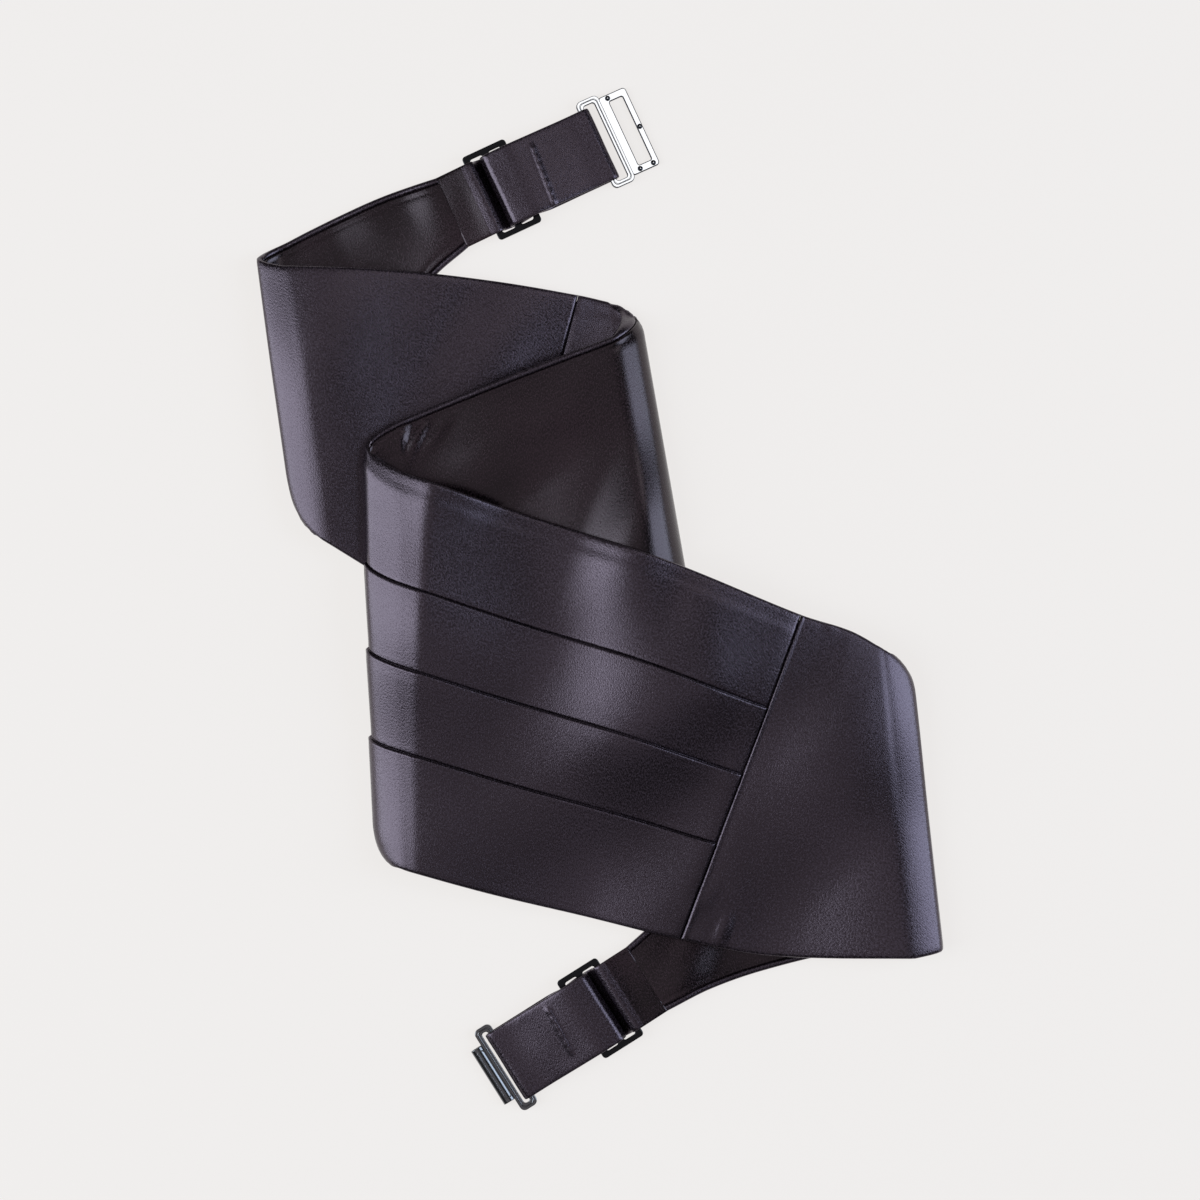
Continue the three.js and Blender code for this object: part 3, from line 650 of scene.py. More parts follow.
GRAIN_SQUEEZE = 0.7  # of the grain across the band
TWILL_SCALE = 0.32  # for each millimetre of grain
TWILL_SHARE = 0.06  # of the diagonal weave in the grain
BROAD_SCALE = 0.02  # for each millimetre
BROAD_SHARE = 0.5  # of the broad changes of colour
TINT_SPAN = (0.46, 0.6)  # values of the grain over which the colour turns to its tint
DULL_SPAN = (0.35, 0.65)  # the same for the roughness
DULL_SHARE = 0.45  # by which the roughness changes from grain to grain
METAL_DULL = (0.8, 1.3)  # the same for a metal, lowest and highest
CLOTH_RELIEF = 0.0003  # depth of the grain, in metres
METAL_RELIEF = 0.0002


def new_material(name):
    made = bpy.data.materials.new(name)
    made.use_nodes = True
    return made, made.node_tree, made.node_tree.nodes["Principled BSDF"]


def node_of(tree, kind, **settings):
    made = tree.nodes.new(kind)
    for name, value in settings.items():
        if name in made.inputs:
            made.inputs[name].default_value = value
        else:
            setattr(made, name, value)
    return made


def ramp_of(tree, source, start, end, low=0, high=1):
    """A value that runs from low to high while the source runs from start to end."""
    made = node_of(tree, "ShaderNodeMapRange")
    spans = {"From Min": start, "From Max": end, "To Min": low, "To Max": high}
    for name, value in spans.items():
        made.inputs[name].default_value = value
    tree.links.new(source, made.inputs["Value"])
    return made.outputs["Result"]


def sum_of(tree, source, share, rest):
    """A share of the source, added to the rest."""
    made = node_of(tree, "ShaderNodeMath", operation="MULTIPLY_ADD")
    tree.links.new(source, made.inputs[0])
    made.inputs[1].default_value = share
    tree.links.new(rest, made.inputs[2])
    return made.outputs[0]


def add_relief(tree, source, shader, strength, distance):
    made = node_of(tree, "ShaderNodeBump", Strength=strength, Distance=distance)
    tree.links.new(source, made.inputs["Height"])
    tree.links.new(made.outputs["Normal"], shader.inputs["Normal"])


def cloth_material(name, color, tint, roughness, gloss, gloss_tint, grain, bump):
    """Satin: a fine grain along the cloth's own coordinates, over a dark glossy ground."""
    made, tree, shader = new_material(name)
    link = tree.links.new
    shader.inputs["Specular IOR Level"].default_value = gloss
    shader.inputs["Specular Tint"].default_value = (*gloss_tint, 1)
    place = node_of(tree, "ShaderNodeUVMap", uv_map="cloth").outputs["UV"]
    stretch = node_of(tree, "ShaderNodeMapping")
    stretch.inputs["Scale"].default_value = (1 / grain, GRAIN_SQUEEZE / grain, 1)
    link(place, stretch.inputs["Vector"])
    fine = node_of(tree, "ShaderNodeTexNoise", Scale=1.0, Detail=2.0, Roughness=0.7)
    link(stretch.outputs["Vector"], fine.inputs["Vector"])
    twill = node_of(tree, "ShaderNodeTexWave", wave_type="BANDS", bands_direction="DIAGONAL",
                    Scale=TWILL_SCALE / grain, Distortion=1.5, Detail=1.0)
    link(place, twill.inputs["Vector"])
    broad = node_of(tree, "ShaderNodeTexNoise", Scale=BROAD_SCALE, Detail=2.0)
    link(place, broad.inputs["Vector"])
    weave = sum_of(tree, twill.outputs["Fac"], TWILL_SHARE, fine.outputs["Fac"])
    blotch = sum_of(tree, broad.outputs["Fac"], BROAD_SHARE, weave)
    start, end = [value + (TWILL_SHARE + BROAD_SHARE) / 2 for value in TINT_SPAN]
    mix = node_of(tree, "ShaderNodeMix", data_type="RGBA")
    mix.inputs["A"].default_value = (*color, 1)
    mix.inputs["B"].default_value = (*tint, 1)
    link(ramp_of(tree, blotch, start, end), mix.inputs["Factor"])
    link(mix.outputs["Result"], shader.inputs["Base Color"])
    low, high = roughness * (1 - DULL_SHARE), roughness * (1 + DULL_SHARE)
    link(ramp_of(tree, fine.outputs["Fac"], *DULL_SPAN, low, high), shader.inputs["Roughness"])
    add_relief(tree, weave, shader, bump, CLOTH_RELIEF)
    return made


def metal_material(name, color, roughness, grain, bump):
    made, tree, shader = new_material(name)
    shader.inputs["Base Color"].default_value = (*color, 1)
    shader.inputs["Metallic"].default_value = 1
    place = node_of(tree, "ShaderNodeTexCoord").outputs["Object"]
    fine = node_of(tree, "ShaderNodeTexNoise", Scale=1 / (grain * MM), Detail=3.0)
    tree.links.new(place, fine.inputs["Vector"])
    low, high = [roughness * share for share in METAL_DULL]
    tree.links.new(ramp_of(tree, fine.outputs["Fac"], 0, 1, low, high), shader.inputs["Roughness"])
    add_relief(tree, fine.outputs["Fac"], shader, bump, METAL_RELIEF)
    return made


SATIN = cloth_material(
    "satin", (0.0015, 0.0008, 0.0012), (0.0185, 0.013, 0.017), roughness=0.25, gloss=0.8,
    gloss_tint=(1, 0.8, 0.99), grain=0.5, bump=0.3)
LINING = cloth_material(
    "lining", (0.001, 0.0005, 0.0007), (0.016, 0.008, 0.0107), roughness=0.21, gloss=0.48,
    gloss_tint=(1, 0.82, 0.92), grain=0.5, bump=0.15)
THREAD = cloth_material(
    "thread", (0.001, 0.001, 0.001), (0.004, 0.003, 0.004), roughness=0.3, gloss=0.4,
    gloss_tint=(1, 1, 1), grain=0.3, bump=0.3)
BLACK_METAL = metal_material("black_metal", (0.022, 0.022, 0.024), 0.25, 0.8, 0.05)
BRIGHT_METAL = metal_material("bright_metal", (0.66, 0.67, 0.69), 0.1, 1.5, 0.01)
# A darker copy of the clasps' one metal, a painted shade: the hook's clasp reads dark as where it
# mirrors a dim part of the room
PAINTED_SHADE_METAL = metal_material("painted_shade_metal", (0.15, 0.15, 0.16), 0.12, 1.5, 0.01)
# A dark copy of the metal for the eye clasp's rounded edges, a painted dark reflection of the dim
# room that polished edges mirror
PAINTED_REFLECTION_RIM = metal_material("painted_reflection_rim", (0.03, 0.03, 0.035), 0.35, 0.8, 0.05)

add_satin("side_panel_eye_satin", "side_panel_eye", 0, SEAM_1, (0, SEAM_GAP),
          plain_profile(), [SEAM_1], 0.05)
add_satin("pleated_front_satin", "pleated_front", SEAM_1, SEAM_2, (SEAM_GAP, SEAM_GAP),
          pleated_profile(), [SEAM_1, SEAM_2], 0)
add_satin("side_panel_hook_satin", "side_panel_hook", SEAM_2, BAND_LENGTH, (SEAM_GAP, 0),
          plain_profile(), [SEAM_2], 0.3)
add_lining()


# Straps

FLOOR_STRAP = STRAP_CLOTH / 2 + STRAP_LIFT
TAIL = FLOOR_STRAP + STRAP_CLOTH + STRAP_GAP
SLIDER_HEIGHT = TAIL + STRAP_CLOTH / 2 + STRAP_GAP + SLIDER_SHEET / 2
OVER_BAR = SLIDER_HEIGHT + SLIDER_SHEET / 2 + 2 * STRAP_GAP + STRAP_CLOTH / 2
TOP_LAYER = OVER_BAR + STRAP_CLOTH + STRAP_GAP
OUTER_BAR = BAR + SLIDER_SLOT
LOOP = RING_BAR / 2 + STRAP_GAP + STRAP_CLOTH / 2
CLASP_HEIGHT = FLOOR_STRAP + LOOP
WRAP = BAR / 2 + STRAP_GAP + STRAP_CLOTH / 2
DIVE = SLIDER_SLOT / 2 + BAR / 2 + STRAP_CLOTH * 0.6

ROOT_GAP = -0.3  # the strap's end is sewn into the panel
STRAP_STEP = 0.5  # from one row of faces to the next
STRAP_START = 8.6  # up to here a strap shows the same side as the lining
STRAP_COLUMNS = 20
STRAP_INSET = 3  # from a strap's edge to the first of its even columns
STRAP_EDGE = [(0, 0), (0.05, 0.4), (0.15, 0.68), (0.4, 0.88), (1, 0.97), (2, 1)]
STRAP_WAVE = 0.08  # half the height of its waves
KNOT_STEPS = 12  # points of the line from one of its knots to the next
TURN_STEPS = 8
END_TURN = (0.75, 1.6)  # the strap's end round the slider's bar, from and to, in half turns

# Places along a strap from the slider's middle bar, and heights of its middle surface
PLACES = {
    "root": -ROOT_TO_SLIDER + ROOT_GAP, "near_bar": -OUTER_BAR, "near_slot": -DIVE, "middle": 0,
    "far_slot": DIVE, "far_bar": OUTER_BAR, "clasp": SLIDER_TO_CLASP,
}
LEVELS = {
    "panel": OUTER_REACH, "over_bar": OVER_BAR, "slider": SLIDER_HEIGHT, "floor": FLOOR_STRAP,
    "return": CLASP_HEIGHT + LOOP, "top": TOP_LAYER,
}

# The way of a strap: place and how many bar widths past it, level and how many cloths above it
WAY_OUT = [
    ("root", 0, "panel", 2.58), ("near_bar", -2.6, "over_bar", -0.62),
    ("near_bar", -1, "over_bar", -0.18), ("near_bar", 0, "over_bar", 0),
    ("near_bar", 0.55, "over_bar", -0.5), ("near_slot", -0.3, "slider", -0.7),
    ("near_slot", 0.6, "floor", 0.5), ("middle", -0.5, "floor", 0), ("middle", 0.5, "floor", 0),
    ("far_slot", -0.8, "floor", 0.5), ("far_slot", 0, "slider", -0.4),
    ("far_bar", -0.5, "over_bar", -0.2), ("far_bar", 0, "over_bar", 0),
    ("far_bar", 0.6, "over_bar", -0.2), ("far_bar", 2, "floor", 1), ("far_bar", 3.4, "floor", 0),
    ("clasp", -4, "floor", 0),
]
WAY_BACK = [
    ("clasp", -3, "return", 0), ("far_bar", 5, "top", -1.15), ("far_bar", 1.5, "top", -0.2),
    ("far_bar", 0, "top", 0), ("far_bar", -1.3, "top", -0.1), ("middle", 0.35, "top", -0.3),
    ("middle", -0.3, "top", -0.55),
]


def way_points(table):
    return [(PLACES[place] + bars * BAR, LEVELS[level] + cloths * STRAP_CLOTH)
            for place, bars, level, cloths in table]


def arc(x, y, wide, high, start, end, steps):
    """Points of an ellipse from one angle to another."""
    angles = np.linspace(start, end, steps + 1)
    return [(x + wide * math.cos(a), y + high * math.sin(a)) for a in angles]


def strap_line():
    """The strap's middle line from the side: lengths in even steps, and its points."""
    loop = arc(SLIDER_TO_CLASP, CLASP_HEIGHT, LOOP, LOOP, -math.pi / 2, math.pi / 2, TURN_STEPS)
    start, stop = [math.pi * half for half in END_TURN]
    end = arc(0, SLIDER_HEIGHT, WRAP, OVER_BAR - SLIDER_HEIGHT, start, stop, TURN_STEPS)
    knots = np.array(way_points(WAY_OUT) + loop + way_points(WAY_BACK) + end)
    ends = np.vstack([2 * knots[0] - knots[1], knots, 2 * knots[-1] - knots[-2]])
    t = np.linspace(0, 1, KNOT_STEPS, endpoint=False)[:, None]
    line = []
    for a, b, c, d in zip(ends, ends[1:], ends[2:], ends[3:]):
        line.append(0.5 * (2 * b + (c - a) * t + (2 * a - 5 * b + 4 * c - d) * t ** 2
                           + (3 * b - a - 3 * c + d) * t ** 3))
    line = np.vstack(line + [knots[-1:]])
    lengths = np.concatenate([[0], np.cumsum(np.linalg.norm(np.diff(line, axis=0), axis=1))])
    even = np.linspace(0, lengths[-1], int(lengths[-1] / STRAP_STEP))
    return even, np.column_stack([np.interp(even, lengths, line[:, k]) for k in (0, 1)])


STRAP_LENGTHS, STRAP_LINE = strap_line()
TURNING = STRAP_LENGTHS[np.argmax(STRAP_LINE[:, 0])]  # where it turns back at the clasp


def strap_ring():
    """The cross-section of a strap: across, and share of half its thickness."""
    first = STRAP_WIDTH / 2 - STRAP_INSET
    inner = np.linspace(-first, first, STRAP_COLUMNS)
    left = [(-STRAP_WIDTH / 2 + off, part) for off, part in STRAP_EDGE]
    right = [(STRAP_WIDTH / 2 - off, part) for off, part in reversed(STRAP_EDGE)]
    top = left + [(a, 1) for a in inner] + right
    return top + [(a, -part) for a, part in reversed(top[1:-1])]


def strap_wave(lengths, across):
    """Slight waves that run askew across a strap, in radians for each millimetre."""
    one = np.sin(lengths * 0.21 + across * 0.13) * np.sin(across * 0.17 - lengths * 0.05)
    two = np.sin(lengths * 0.47 - across * 0.24 + 1.3)
    return STRAP_WAVE * (one + 0.4 * two)


def in_frame(root, turn, points):
    """Points along, across and above a strap, in the frame."""
    way = np.array([math.cos(turn), math.sin(turn)])
    side = np.array([-way[1], way[0]])
    flat = strap_frame(root, turn) + points[:, :1] * way + points[:, 1:2] * side
    return placed(np.column_stack([flat, points[:, 2]]))


# Stitches across a strap: from along, from across, to along, to across
STITCHES = {"eye": (14.9, 8.2, 13.6, -11.6), "hook": (14.5, -9.1, 15.6, 6.4)}
STITCH_LONG = 1.2
STITCH_FILL = 0.8  # share of their row that the stitches fill
STITCH_RADIUS = 0.3
STITCH_ZIGZAG = 0.5  # of the radius, to either side
STITCH_SIDES = 6
STITCH_DIP = 0.65  # by which the cloth is drawn in
STITCH_WIDE = 0.75  # and how far from the stitches
DIP_PAST = 0.1  # share of the row by which that goes on past its ends
DIP_FADE = 8  # the greater, the shorter its fade
PUCKER = 0.25  # share by which it comes and goes
PUCKER_TURN = 2.1

# Rings of a stitch: share of its length, share of its radius, and drop for each radius
STITCH_RINGS = [(0, 0.3, 0.5), (0.15, 0.9, 0), (0.5, 1.1, -0.3), (0.85, 0.9, 0), (1, 0.3, 0.5)]


def stitch_dip(side, along, across):
    """The cloth is drawn in along its row of stitches."""
    a, b, c, d = STITCHES[side]
    way = np.array([c - a, d - b])
    span = np.linalg.norm(way)
    ahead = ((along - a) * way[0] + (across - b) * way[1]) / span / span
    aside = ((along - a) * way[1] - (across - b) * way[0]) / span
    inside = smooth((ahead + DIP_PAST) * DIP_FADE) * smooth((1 + DIP_PAST - ahead) * DIP_FADE)
    pucker = 1 - PUCKER + PUCKER * np.sin(ahead * span * PUCKER_TURN)
    return STITCH_DIP * inside * pucker * np.exp(-(aside / STITCH_WIDE) ** 2)


def add_strap(name, side, node, root, turn):
    ahead = np.gradient(STRAP_LINE, axis=0)
    ahead /= np.linalg.norm(ahead, axis=1)[:, None]
    ring = np.array(strap_ring())
    rows, count = len(STRAP_LINE), len(ring)
    long = np.repeat(STRAP_LENGTHS, count)
    along, height = np.repeat(STRAP_LINE, count, axis=0).T
    way = np.repeat(ahead, count, axis=0)
    across = np.tile(ring[:, 0], rows)
    above = np.tile(ring[:, 1], rows) * STRAP_CLOTH / 2 + strap_wave(long, across)
    above -= stitch_dip(side, along, across) * (long > TURNING)
    points = np.column_stack([along - way[:, 1] * above, across, height + way[:, 0] * above])
    uv = np.column_stack([long, across])
    made = tube_mesh(name, in_frame(root, turn, points), rows, count, uv)
    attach(made, "root")
    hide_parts(node)
    made.data.materials.append(SATIN)
    made.data.materials.append(LINING)
    for number, polygon in enumerate(made.data.polygons):
        row = min(number // count, rows - 1)
        polygon.material_index = int(STRAP_LENGTHS[row] < STRAP_START)


def stitch_points(start, end):
    """A stitch: a short rod with pointed ends that dip into the cloth."""
    way = end - start
    side = np.array([-way[1], way[0], 0]) / np.linalg.norm(way)
    up = np.array([0, 0, 1.0])
    points = []
    for share, wide, drop in STITCH_RINGS:
        middle_at = start + way * share - up * drop * STITCH_RADIUS
        for k in range(STITCH_SIDES):
            a = 2 * math.pi * k / STITCH_SIDES
            spoke = side * math.cos(a) + up * math.sin(a)
            points.append(middle_at + spoke * STITCH_RADIUS * wide)
    return points


def add_stitches(side, root, turn):
    from_along, from_across, to_along, to_across = STITCHES[side]
    span = math.hypot(to_along - from_along, to_across - from_across)
    count = int(span * STITCH_FILL / STITCH_LONG)
    back = (STRAP_LINE[:, 0] > OUTER_BAR) & (STRAP_LENGTHS > TURNING)
    places, heights = STRAP_LINE[back][::-1].T
    points, faces = [], []
    for number in range(count):
        ends = []
        zigzag = STITCH_RADIUS * STITCH_ZIGZAG * (1 if number % 2 else -1)
        for share in (number / count, (number + STITCH_FILL) / count):
            along = blend(from_along, to_along, share)
            across = blend(from_across, to_across, share)
            height = np.interp(along, places, heights) + STRAP_CLOTH / 2
            ends.append(np.array([along + zigzag, across, height]))
        faces += rod_faces(len(STITCH_RINGS), STITCH_SIDES, len(points))
        points += stitch_points(*ends)
    made = mesh_object("stitches_" + side, in_frame(root, turn, np.array(points)), faces)
    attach(made, "root")
    made.data.materials.append(THREAD)


for side, root, turn in SIDES:
    add_strap("strap_satin_" + side, side, "strap_" + side, root, turn)
    add_stitches(side, root, turn)

# Metal fittings, along and across the strap

ARC_STEPS = 6
BEVEL = 0.3
BEVEL_STEPS = 2
WELD = 0.0001  # distance at which two points of a sheet become one
FLAT_LEAST = 0.99  # upward part of the normal from which a face counts as flat

# Corner radii of the outlines and of the slots in them, as shares of a bar's width
SLIDER_CORNERS = (0.55, 0.35)
RING_CORNERS = (0.9, 0.45)
RIDGE_CORNERS = (0.7, 0.6)
EYE_CORNERS = (0.6, 0.3)

SLIDER_EXTRA = 0.4  # by which the slider's slots are longer than the model's at each end
SLIDER_HALF = STRAP_WIDTH / 2 + SIDE_PLAY + SLIDER_EXTRA
SLIDER_END = OUTER_BAR + BAR / 2
RING_HALF = STRAP_WIDTH / 2 + RING_SIDE
RING_LEFT = -RING_BAR / 2
RING_BEVEL = 0.22
RIDGE = 0.78  # from a ring's edge to the ridge on it
RIDGE_RISE = 0.24
RIDGE_BEVEL = 0.2
EYE_SHEET = RING_SHEET * 0.8  # thickness of the slotted plate
EYE_TUCK = 0.75  # share of the ring's bar that the plate runs into
RIVET_RADIUS = 0.9
RIVET_RISE = 0.3  # above the ring
RIVET_SIDES = 16
RIVET_RINGS = [(1, -0.6), (1, 0), (0.86, 0.5), (0.55, 0.85), (0.15, 1)]  # width and height

HOOK_STEPS = 12
HOOK_BEVEL = 0.25
BEAD_INSETS = (0.9, 1.3, 1.2)  # of the bead on the hook, from its root, its tip and its sides
BEAD_WIDE = 0.4  # the bead's own width
BEAD_CORNERS = (1.1, 0.8)
BEAD_SHEET = 0.3
BEAD_BEVEL = 0.1


def rounded(left, right, half, radius, inward=False):
    """The outline of a rectangle with round corners, clockwise for a hole."""
    outline = []
    corners = [(right - radius, half - radius), (left + radius, half - radius),
               (left + radius, radius - half), (right - radius, radius - half)]
    for quarter, (x, y) in enumerate(corners):
        start = quarter * math.pi / 2
        outline += arc(x, y, radius, radius, start, start + math.pi / 2, ARC_STEPS)
    return outline[::-1] if inward else outline


def plate(outlines, sheet, bevel=BEVEL, height=0.0):
    """Points and faces of a sheet with rounded edges, from its outline and its slots."""
    curve = bpy.data.curves.new("plate", "CURVE")
    curve.dimensions = "2D"
    curve.fill_mode = "BOTH"
    curve.extrude = sheet / 2 - bevel
    curve.bevel_depth = bevel
    curve.bevel_resolution = BEVEL_STEPS
    curve.offset = -bevel
    for outline in outlines:
        spline = curve.splines.new("POLY")
        spline.points.add(len(outline) - 1)
        for point, (x, y) in zip(spline.points, outline):
            point.co = (x, y, 0, 1)
        spline.use_cyclic_u = True
    source = bpy.data.objects.new("plate", curve)
    bpy.context.scene.collection.objects.link(source)
    shaped = source.evaluated_get(bpy.context.evaluated_depsgraph_get())
    mesh = bpy.data.meshes.new_from_object(shaped)
    bpy.data.objects.remove(source)
    bpy.data.curves.remove(curve)
    work = bmesh.new()
    work.from_mesh(mesh)
    bpy.data.meshes.remove(mesh)
    bmesh.ops.remove_doubles(work, verts=work.verts, dist=WELD)
    bmesh.ops.recalc_face_normals(work, faces=work.faces)
    points = np.array([tuple(v.co) for v in work.verts])
    points[:, 2] += height
    faces = [tuple(v.index for v in f.verts) for f in work.faces]
    flat = [abs(f.normal.z) > FLAT_LEAST for f in work.faces]
    work.free()
    return points, faces, flat


def dome(along, across, base, rise):
    """A rivet's head."""
    points = []
    for wide, up in RIVET_RINGS:
        for k in range(RIVET_SIDES):
            a = 2 * math.pi * k / RIVET_SIDES
            reach = RIVET_RADIUS * wide
            points.append((along + reach * math.cos(a), across + reach * math.sin(a),
                           base + rise * up))
    faces = rod_faces(len(RIVET_RINGS), RIVET_SIDES)
    flat = [False] * (len(faces) - 1) + [True]
    return np.array(points), faces, flat


def add_fitting(name, node, root, turn, parts, face, rim, place=(0, 0), tilt=0.0):
    """One rigid fitting of several sheets and heads, with its own place along and up."""
    points, faces, flat = [], [], []
    for part_points, part_faces, part_flat in parts:
        base = sum(len(p) for p in points)
        points.append(part_points)
        faces += [tuple(i + base for i in f) for f in part_faces]
        flat += part_flat
    points = np.vstack(points)
    along = points[:, 0] * math.cos(tilt) + points[:, 2] * math.sin(tilt) + place[0]
    up = points[:, 2] * math.cos(tilt) - points[:, 0] * math.sin(tilt) + place[1]
    moved = in_frame(root, turn, np.column_stack([along, points[:, 1], up]))
    made = mesh_object(name, moved, faces, smooth_faces=False)
    made.data.materials.append(face)
    made.data.materials.append(rim)
    for polygon, is_flat in zip(made.data.polygons, flat):
        polygon.material_index = 0 if is_flat else 1
        polygon.use_smooth = not is_flat
    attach(made, "root")
    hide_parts(node)


def slider_parts():
    outer, inner = [BAR * share for share in SLIDER_CORNERS]
    near = rounded(-OUTER_BAR + BAR / 2, -BAR / 2, SLIDER_HALF, inner, True)
    far = rounded(BAR / 2, OUTER_BAR - BAR / 2, SLIDER_HALF, inner, True)
    outline = rounded(-SLIDER_END, SLIDER_END, STRAP_WIDTH / 2 + SIDE_PLAY + BAR, outer)
    return [plate([outline, near, far], SLIDER_SHEET)]


def frame_of(right, inset, corners, *sheet):
    """A sheet in the shape of a ring, or of a narrower ridge on it."""
    outer, inner = [RING_BAR * share for share in corners]
    return plate([
        rounded(RING_LEFT + inset, right - inset, RING_HALF + RING_BAR - inset, outer),
        rounded(RING_LEFT + RING_BAR - inset, right - RING_BAR + inset, RING_HALF + inset, inner,
                True),
    ], *sheet)


def ring_parts(length):
    right = RING_LEFT + length
    return [
        frame_of(right, 0, RING_CORNERS, RING_SHEET, RING_BEVEL),
        frame_of(right, RIDGE, RIDGE_CORNERS, 2 * RIDGE_RISE, RIDGE_BEVEL, RING_SHEET / 2),
    ]


def eye_parts():
    left = EYE_RING - RING_BAR * EYE_TUCK
    right = EYE_RING - RING_BAR / 2 + EYE_PLATE
    slot_right = right - RING_BAR
    slot_left = slot_right - EYE_SLOT
    arm = (EYE_SLOT_WIDTH / 2 + EYE_WIDTH / 2) / 2
    outer, inner = [RING_BAR * share for share in EYE_CORNERS]
    sheet = plate([
        rounded(left, right, EYE_WIDTH / 2, outer),
        rounded(slot_left, slot_right, EYE_SLOT_WIDTH / 2, inner, True),
    ], EYE_SHEET)
    heads = [(slot_left, arm), (slot_left, -arm), (slot_right, -arm), (right - RING_BAR / 2, 0)]
    rise = RING_SHEET / 2 + RIVET_RISE - EYE_SHEET / 2
    domes = [dome(x, y, EYE_SHEET / 2, rise) for x, y in heads]
    return ring_parts(EYE_RING) + [sheet] + domes


def hook_parts():
    ring_end = HOOK_RING - RING_BAR / 2
    start, lip, tip = ring_end - RING_BAR / 2, ring_end + BEVEL, ring_end + HOOK_REACH
    gape = HOOK_GAPE / 2
    outer = gape + HOOK_SHEET
    bend, bend_up = tip - outer, HOOK_SHEET / 2 - outer
    out = arc(bend, bend_up, outer, outer, math.pi / 2, -math.pi / 2, HOOK_STEPS)
    back = arc(bend, bend_up, gape, gape, -math.pi / 2, math.pi / 2, HOOK_STEPS)
    profile = ([(start, HOOK_SHEET / 2)] + out + [(lip, bend_up - outer), (lip, bend_up - gape)]
               + back + [(start, -HOOK_SHEET / 2)])
    half = HOOK_WIDTH / 2
    sides = (-half, HOOK_BEVEL - half, half - HOOK_BEVEL, half)
    points = np.array([(x, side, z) for side in sides for x, z in profile])
    faces = rod_faces(len(sides), len(profile))
    at_root, at_tip, at_side = BEAD_INSETS
    outlines = [
        rounded(start + at_root + inset, tip - at_tip - inset, half - at_side - inset, radius, hole)
        for inset, radius, hole in zip((0, BEAD_WIDE), BEAD_CORNERS, (False, True))
    ]
    bead = plate(outlines, BEAD_SHEET, BEAD_BEVEL, HOOK_SHEET / 2)
    return ring_parts(HOOK_RING) + [(points, faces, [False] * len(faces)), bead]


CLASP_REACH = EYE_RING + EYE_PLATE - RING_BAR
EYE_TILT = math.asin((CLASP_HEIGHT - RING_SHEET / 2) / CLASP_REACH)
CLASP_PLACE = (SLIDER_TO_CLASP, CLASP_HEIGHT)
for side, root, turn in SIDES:
    add_fitting("slider_frame_" + side, "slider_" + side, root, turn, slider_parts(),
                BLACK_METAL, BLACK_METAL, (0, SLIDER_HEIGHT))
# The eye clasp's rounded edges carry the painted dark reflection
add_fitting("clasp_plate_eye", "clasp_eye", 0, TURN_EYE, eye_parts(),
            BRIGHT_METAL, PAINTED_REFLECTION_RIM, CLASP_PLACE, EYE_TILT)
# The hook's clasp is made wholly of the metal's darker copy, a painted shade
add_fitting("clasp_plate_hook", "clasp_hook", LAST, TURN_HOOK, hook_parts(),
            PAINTED_SHADE_METAL, PAINTED_SHADE_METAL, CLASP_PLACE)


# Floor, lights and camera

CAMERA_HEIGHT = 1.1
FRAME_WIDTH = 0.396
SENSOR = 36
FLOOR_HALF = 6.0
FLOOR_DROP = 0.0002
FLOOR_ROUGHNESS = 0.9
FLOOR_COLOR = (0.12, 0.118, 0.117, 1)
FLOOR_GLOW = (1, 0.968, 0.946, 1)
FLOOR_GLOW_STRENGTH = 0.777
WORLD_COLOR = (0.95, 0.96, 1, 1)
WORLD_STRENGTH = 0.08

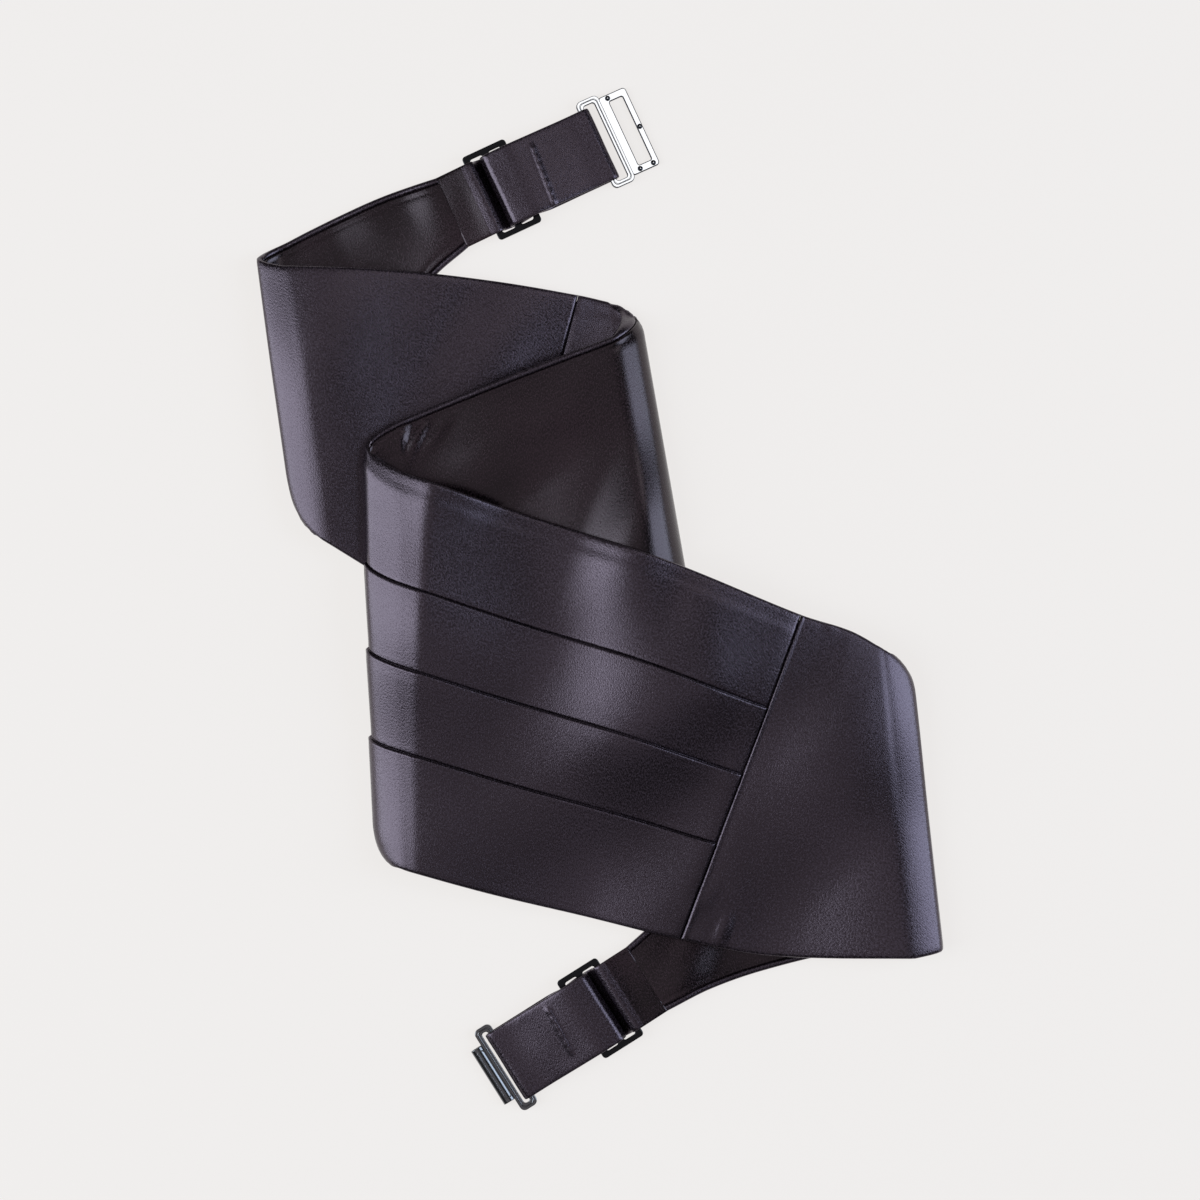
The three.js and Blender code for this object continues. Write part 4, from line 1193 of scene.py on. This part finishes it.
# Lights: name, place, target, size, power in watts, and colour
LIGHTS = [
    ("left", (-1.25, -0.15, 0.86), (0, -0.15, 0), (0.85, 2.2), 25, (0.84, 0.94, 1)),
    ("right", (1.27, 0.1, 0.8), (0, 0, 0), (0.8, 1.6), 18, (0.7, 0.84, 1)),
    ("over", (-0.175, 0.37, 1.3), (-0.175, 0.37, 0), (0.55, 0.94), 0.57, (1, 0.94, 0.97)),
    ("low", (0, -0.45, 1.3), (0, -0.45, 0), (0.7, 0.7), 0.56, (1, 0.94, 0.97)),
    ("top", (0.34, 0.52, 1.3), (0.1, 0.15, 0), (0.3, 0.36), 0.55, (1, 1, 1)),
]


def add_floor():
    size = FLOOR_HALF
    points = [(-size, -size, 0), (size, -size, 0), (size, size, 0), (-size, size, 0)]
    floor = mesh_object("floor", points, [(0, 1, 2, 3)], smooth_faces=False)
    made, _, shader = new_material("pale_floor")
    shader.inputs["Base Color"].default_value = FLOOR_COLOR
    shader.inputs["Roughness"].default_value = FLOOR_ROUGHNESS
    shader.inputs["Specular IOR Level"].default_value = 0
    shader.inputs["Emission Color"].default_value = FLOOR_GLOW
    shader.inputs["Emission Strength"].default_value = FLOOR_GLOW_STRENGTH
    floor.data.materials.append(made)
    floor.location.z = -FLOOR_DROP


def add_softbox(name, place, target, size, power, color):
    light = bpy.data.lights.new(name, "AREA")
    light.shape = "RECTANGLE"
    light.size, light.size_y = size
    light.energy = power
    light.color = color
    made = bpy.data.objects.new(name, light)
    made.location = place
    way = Vector(target) - Vector(place)
    made.rotation_euler = way.to_track_quat("-Z", "Y").to_euler()
    bpy.context.scene.collection.objects.link(made)


def add_camera():
    data = bpy.data.cameras.new("camera")
    data.sensor_width = SENSOR
    data.lens = SENSOR * CAMERA_HEIGHT / FRAME_WIDTH
    made = bpy.data.objects.new("camera", data)
    made.location = (SHIFT[0] * MM, SHIFT[1] * MM, CAMERA_HEIGHT)
    bpy.context.scene.collection.objects.link(made)
    bpy.context.scene.camera = made


def add_world():
    world = bpy.data.worlds.new("room")
    world.use_nodes = True
    back = world.node_tree.nodes["Background"]
    back.inputs["Color"].default_value = WORLD_COLOR
    back.inputs["Strength"].default_value = WORLD_STRENGTH
    bpy.context.scene.world = world


add_floor()
add_camera()
add_world()
for row in LIGHTS:
    add_softbox(*row)
scene = bpy.context.scene
scene.view_settings.view_transform = "Standard"
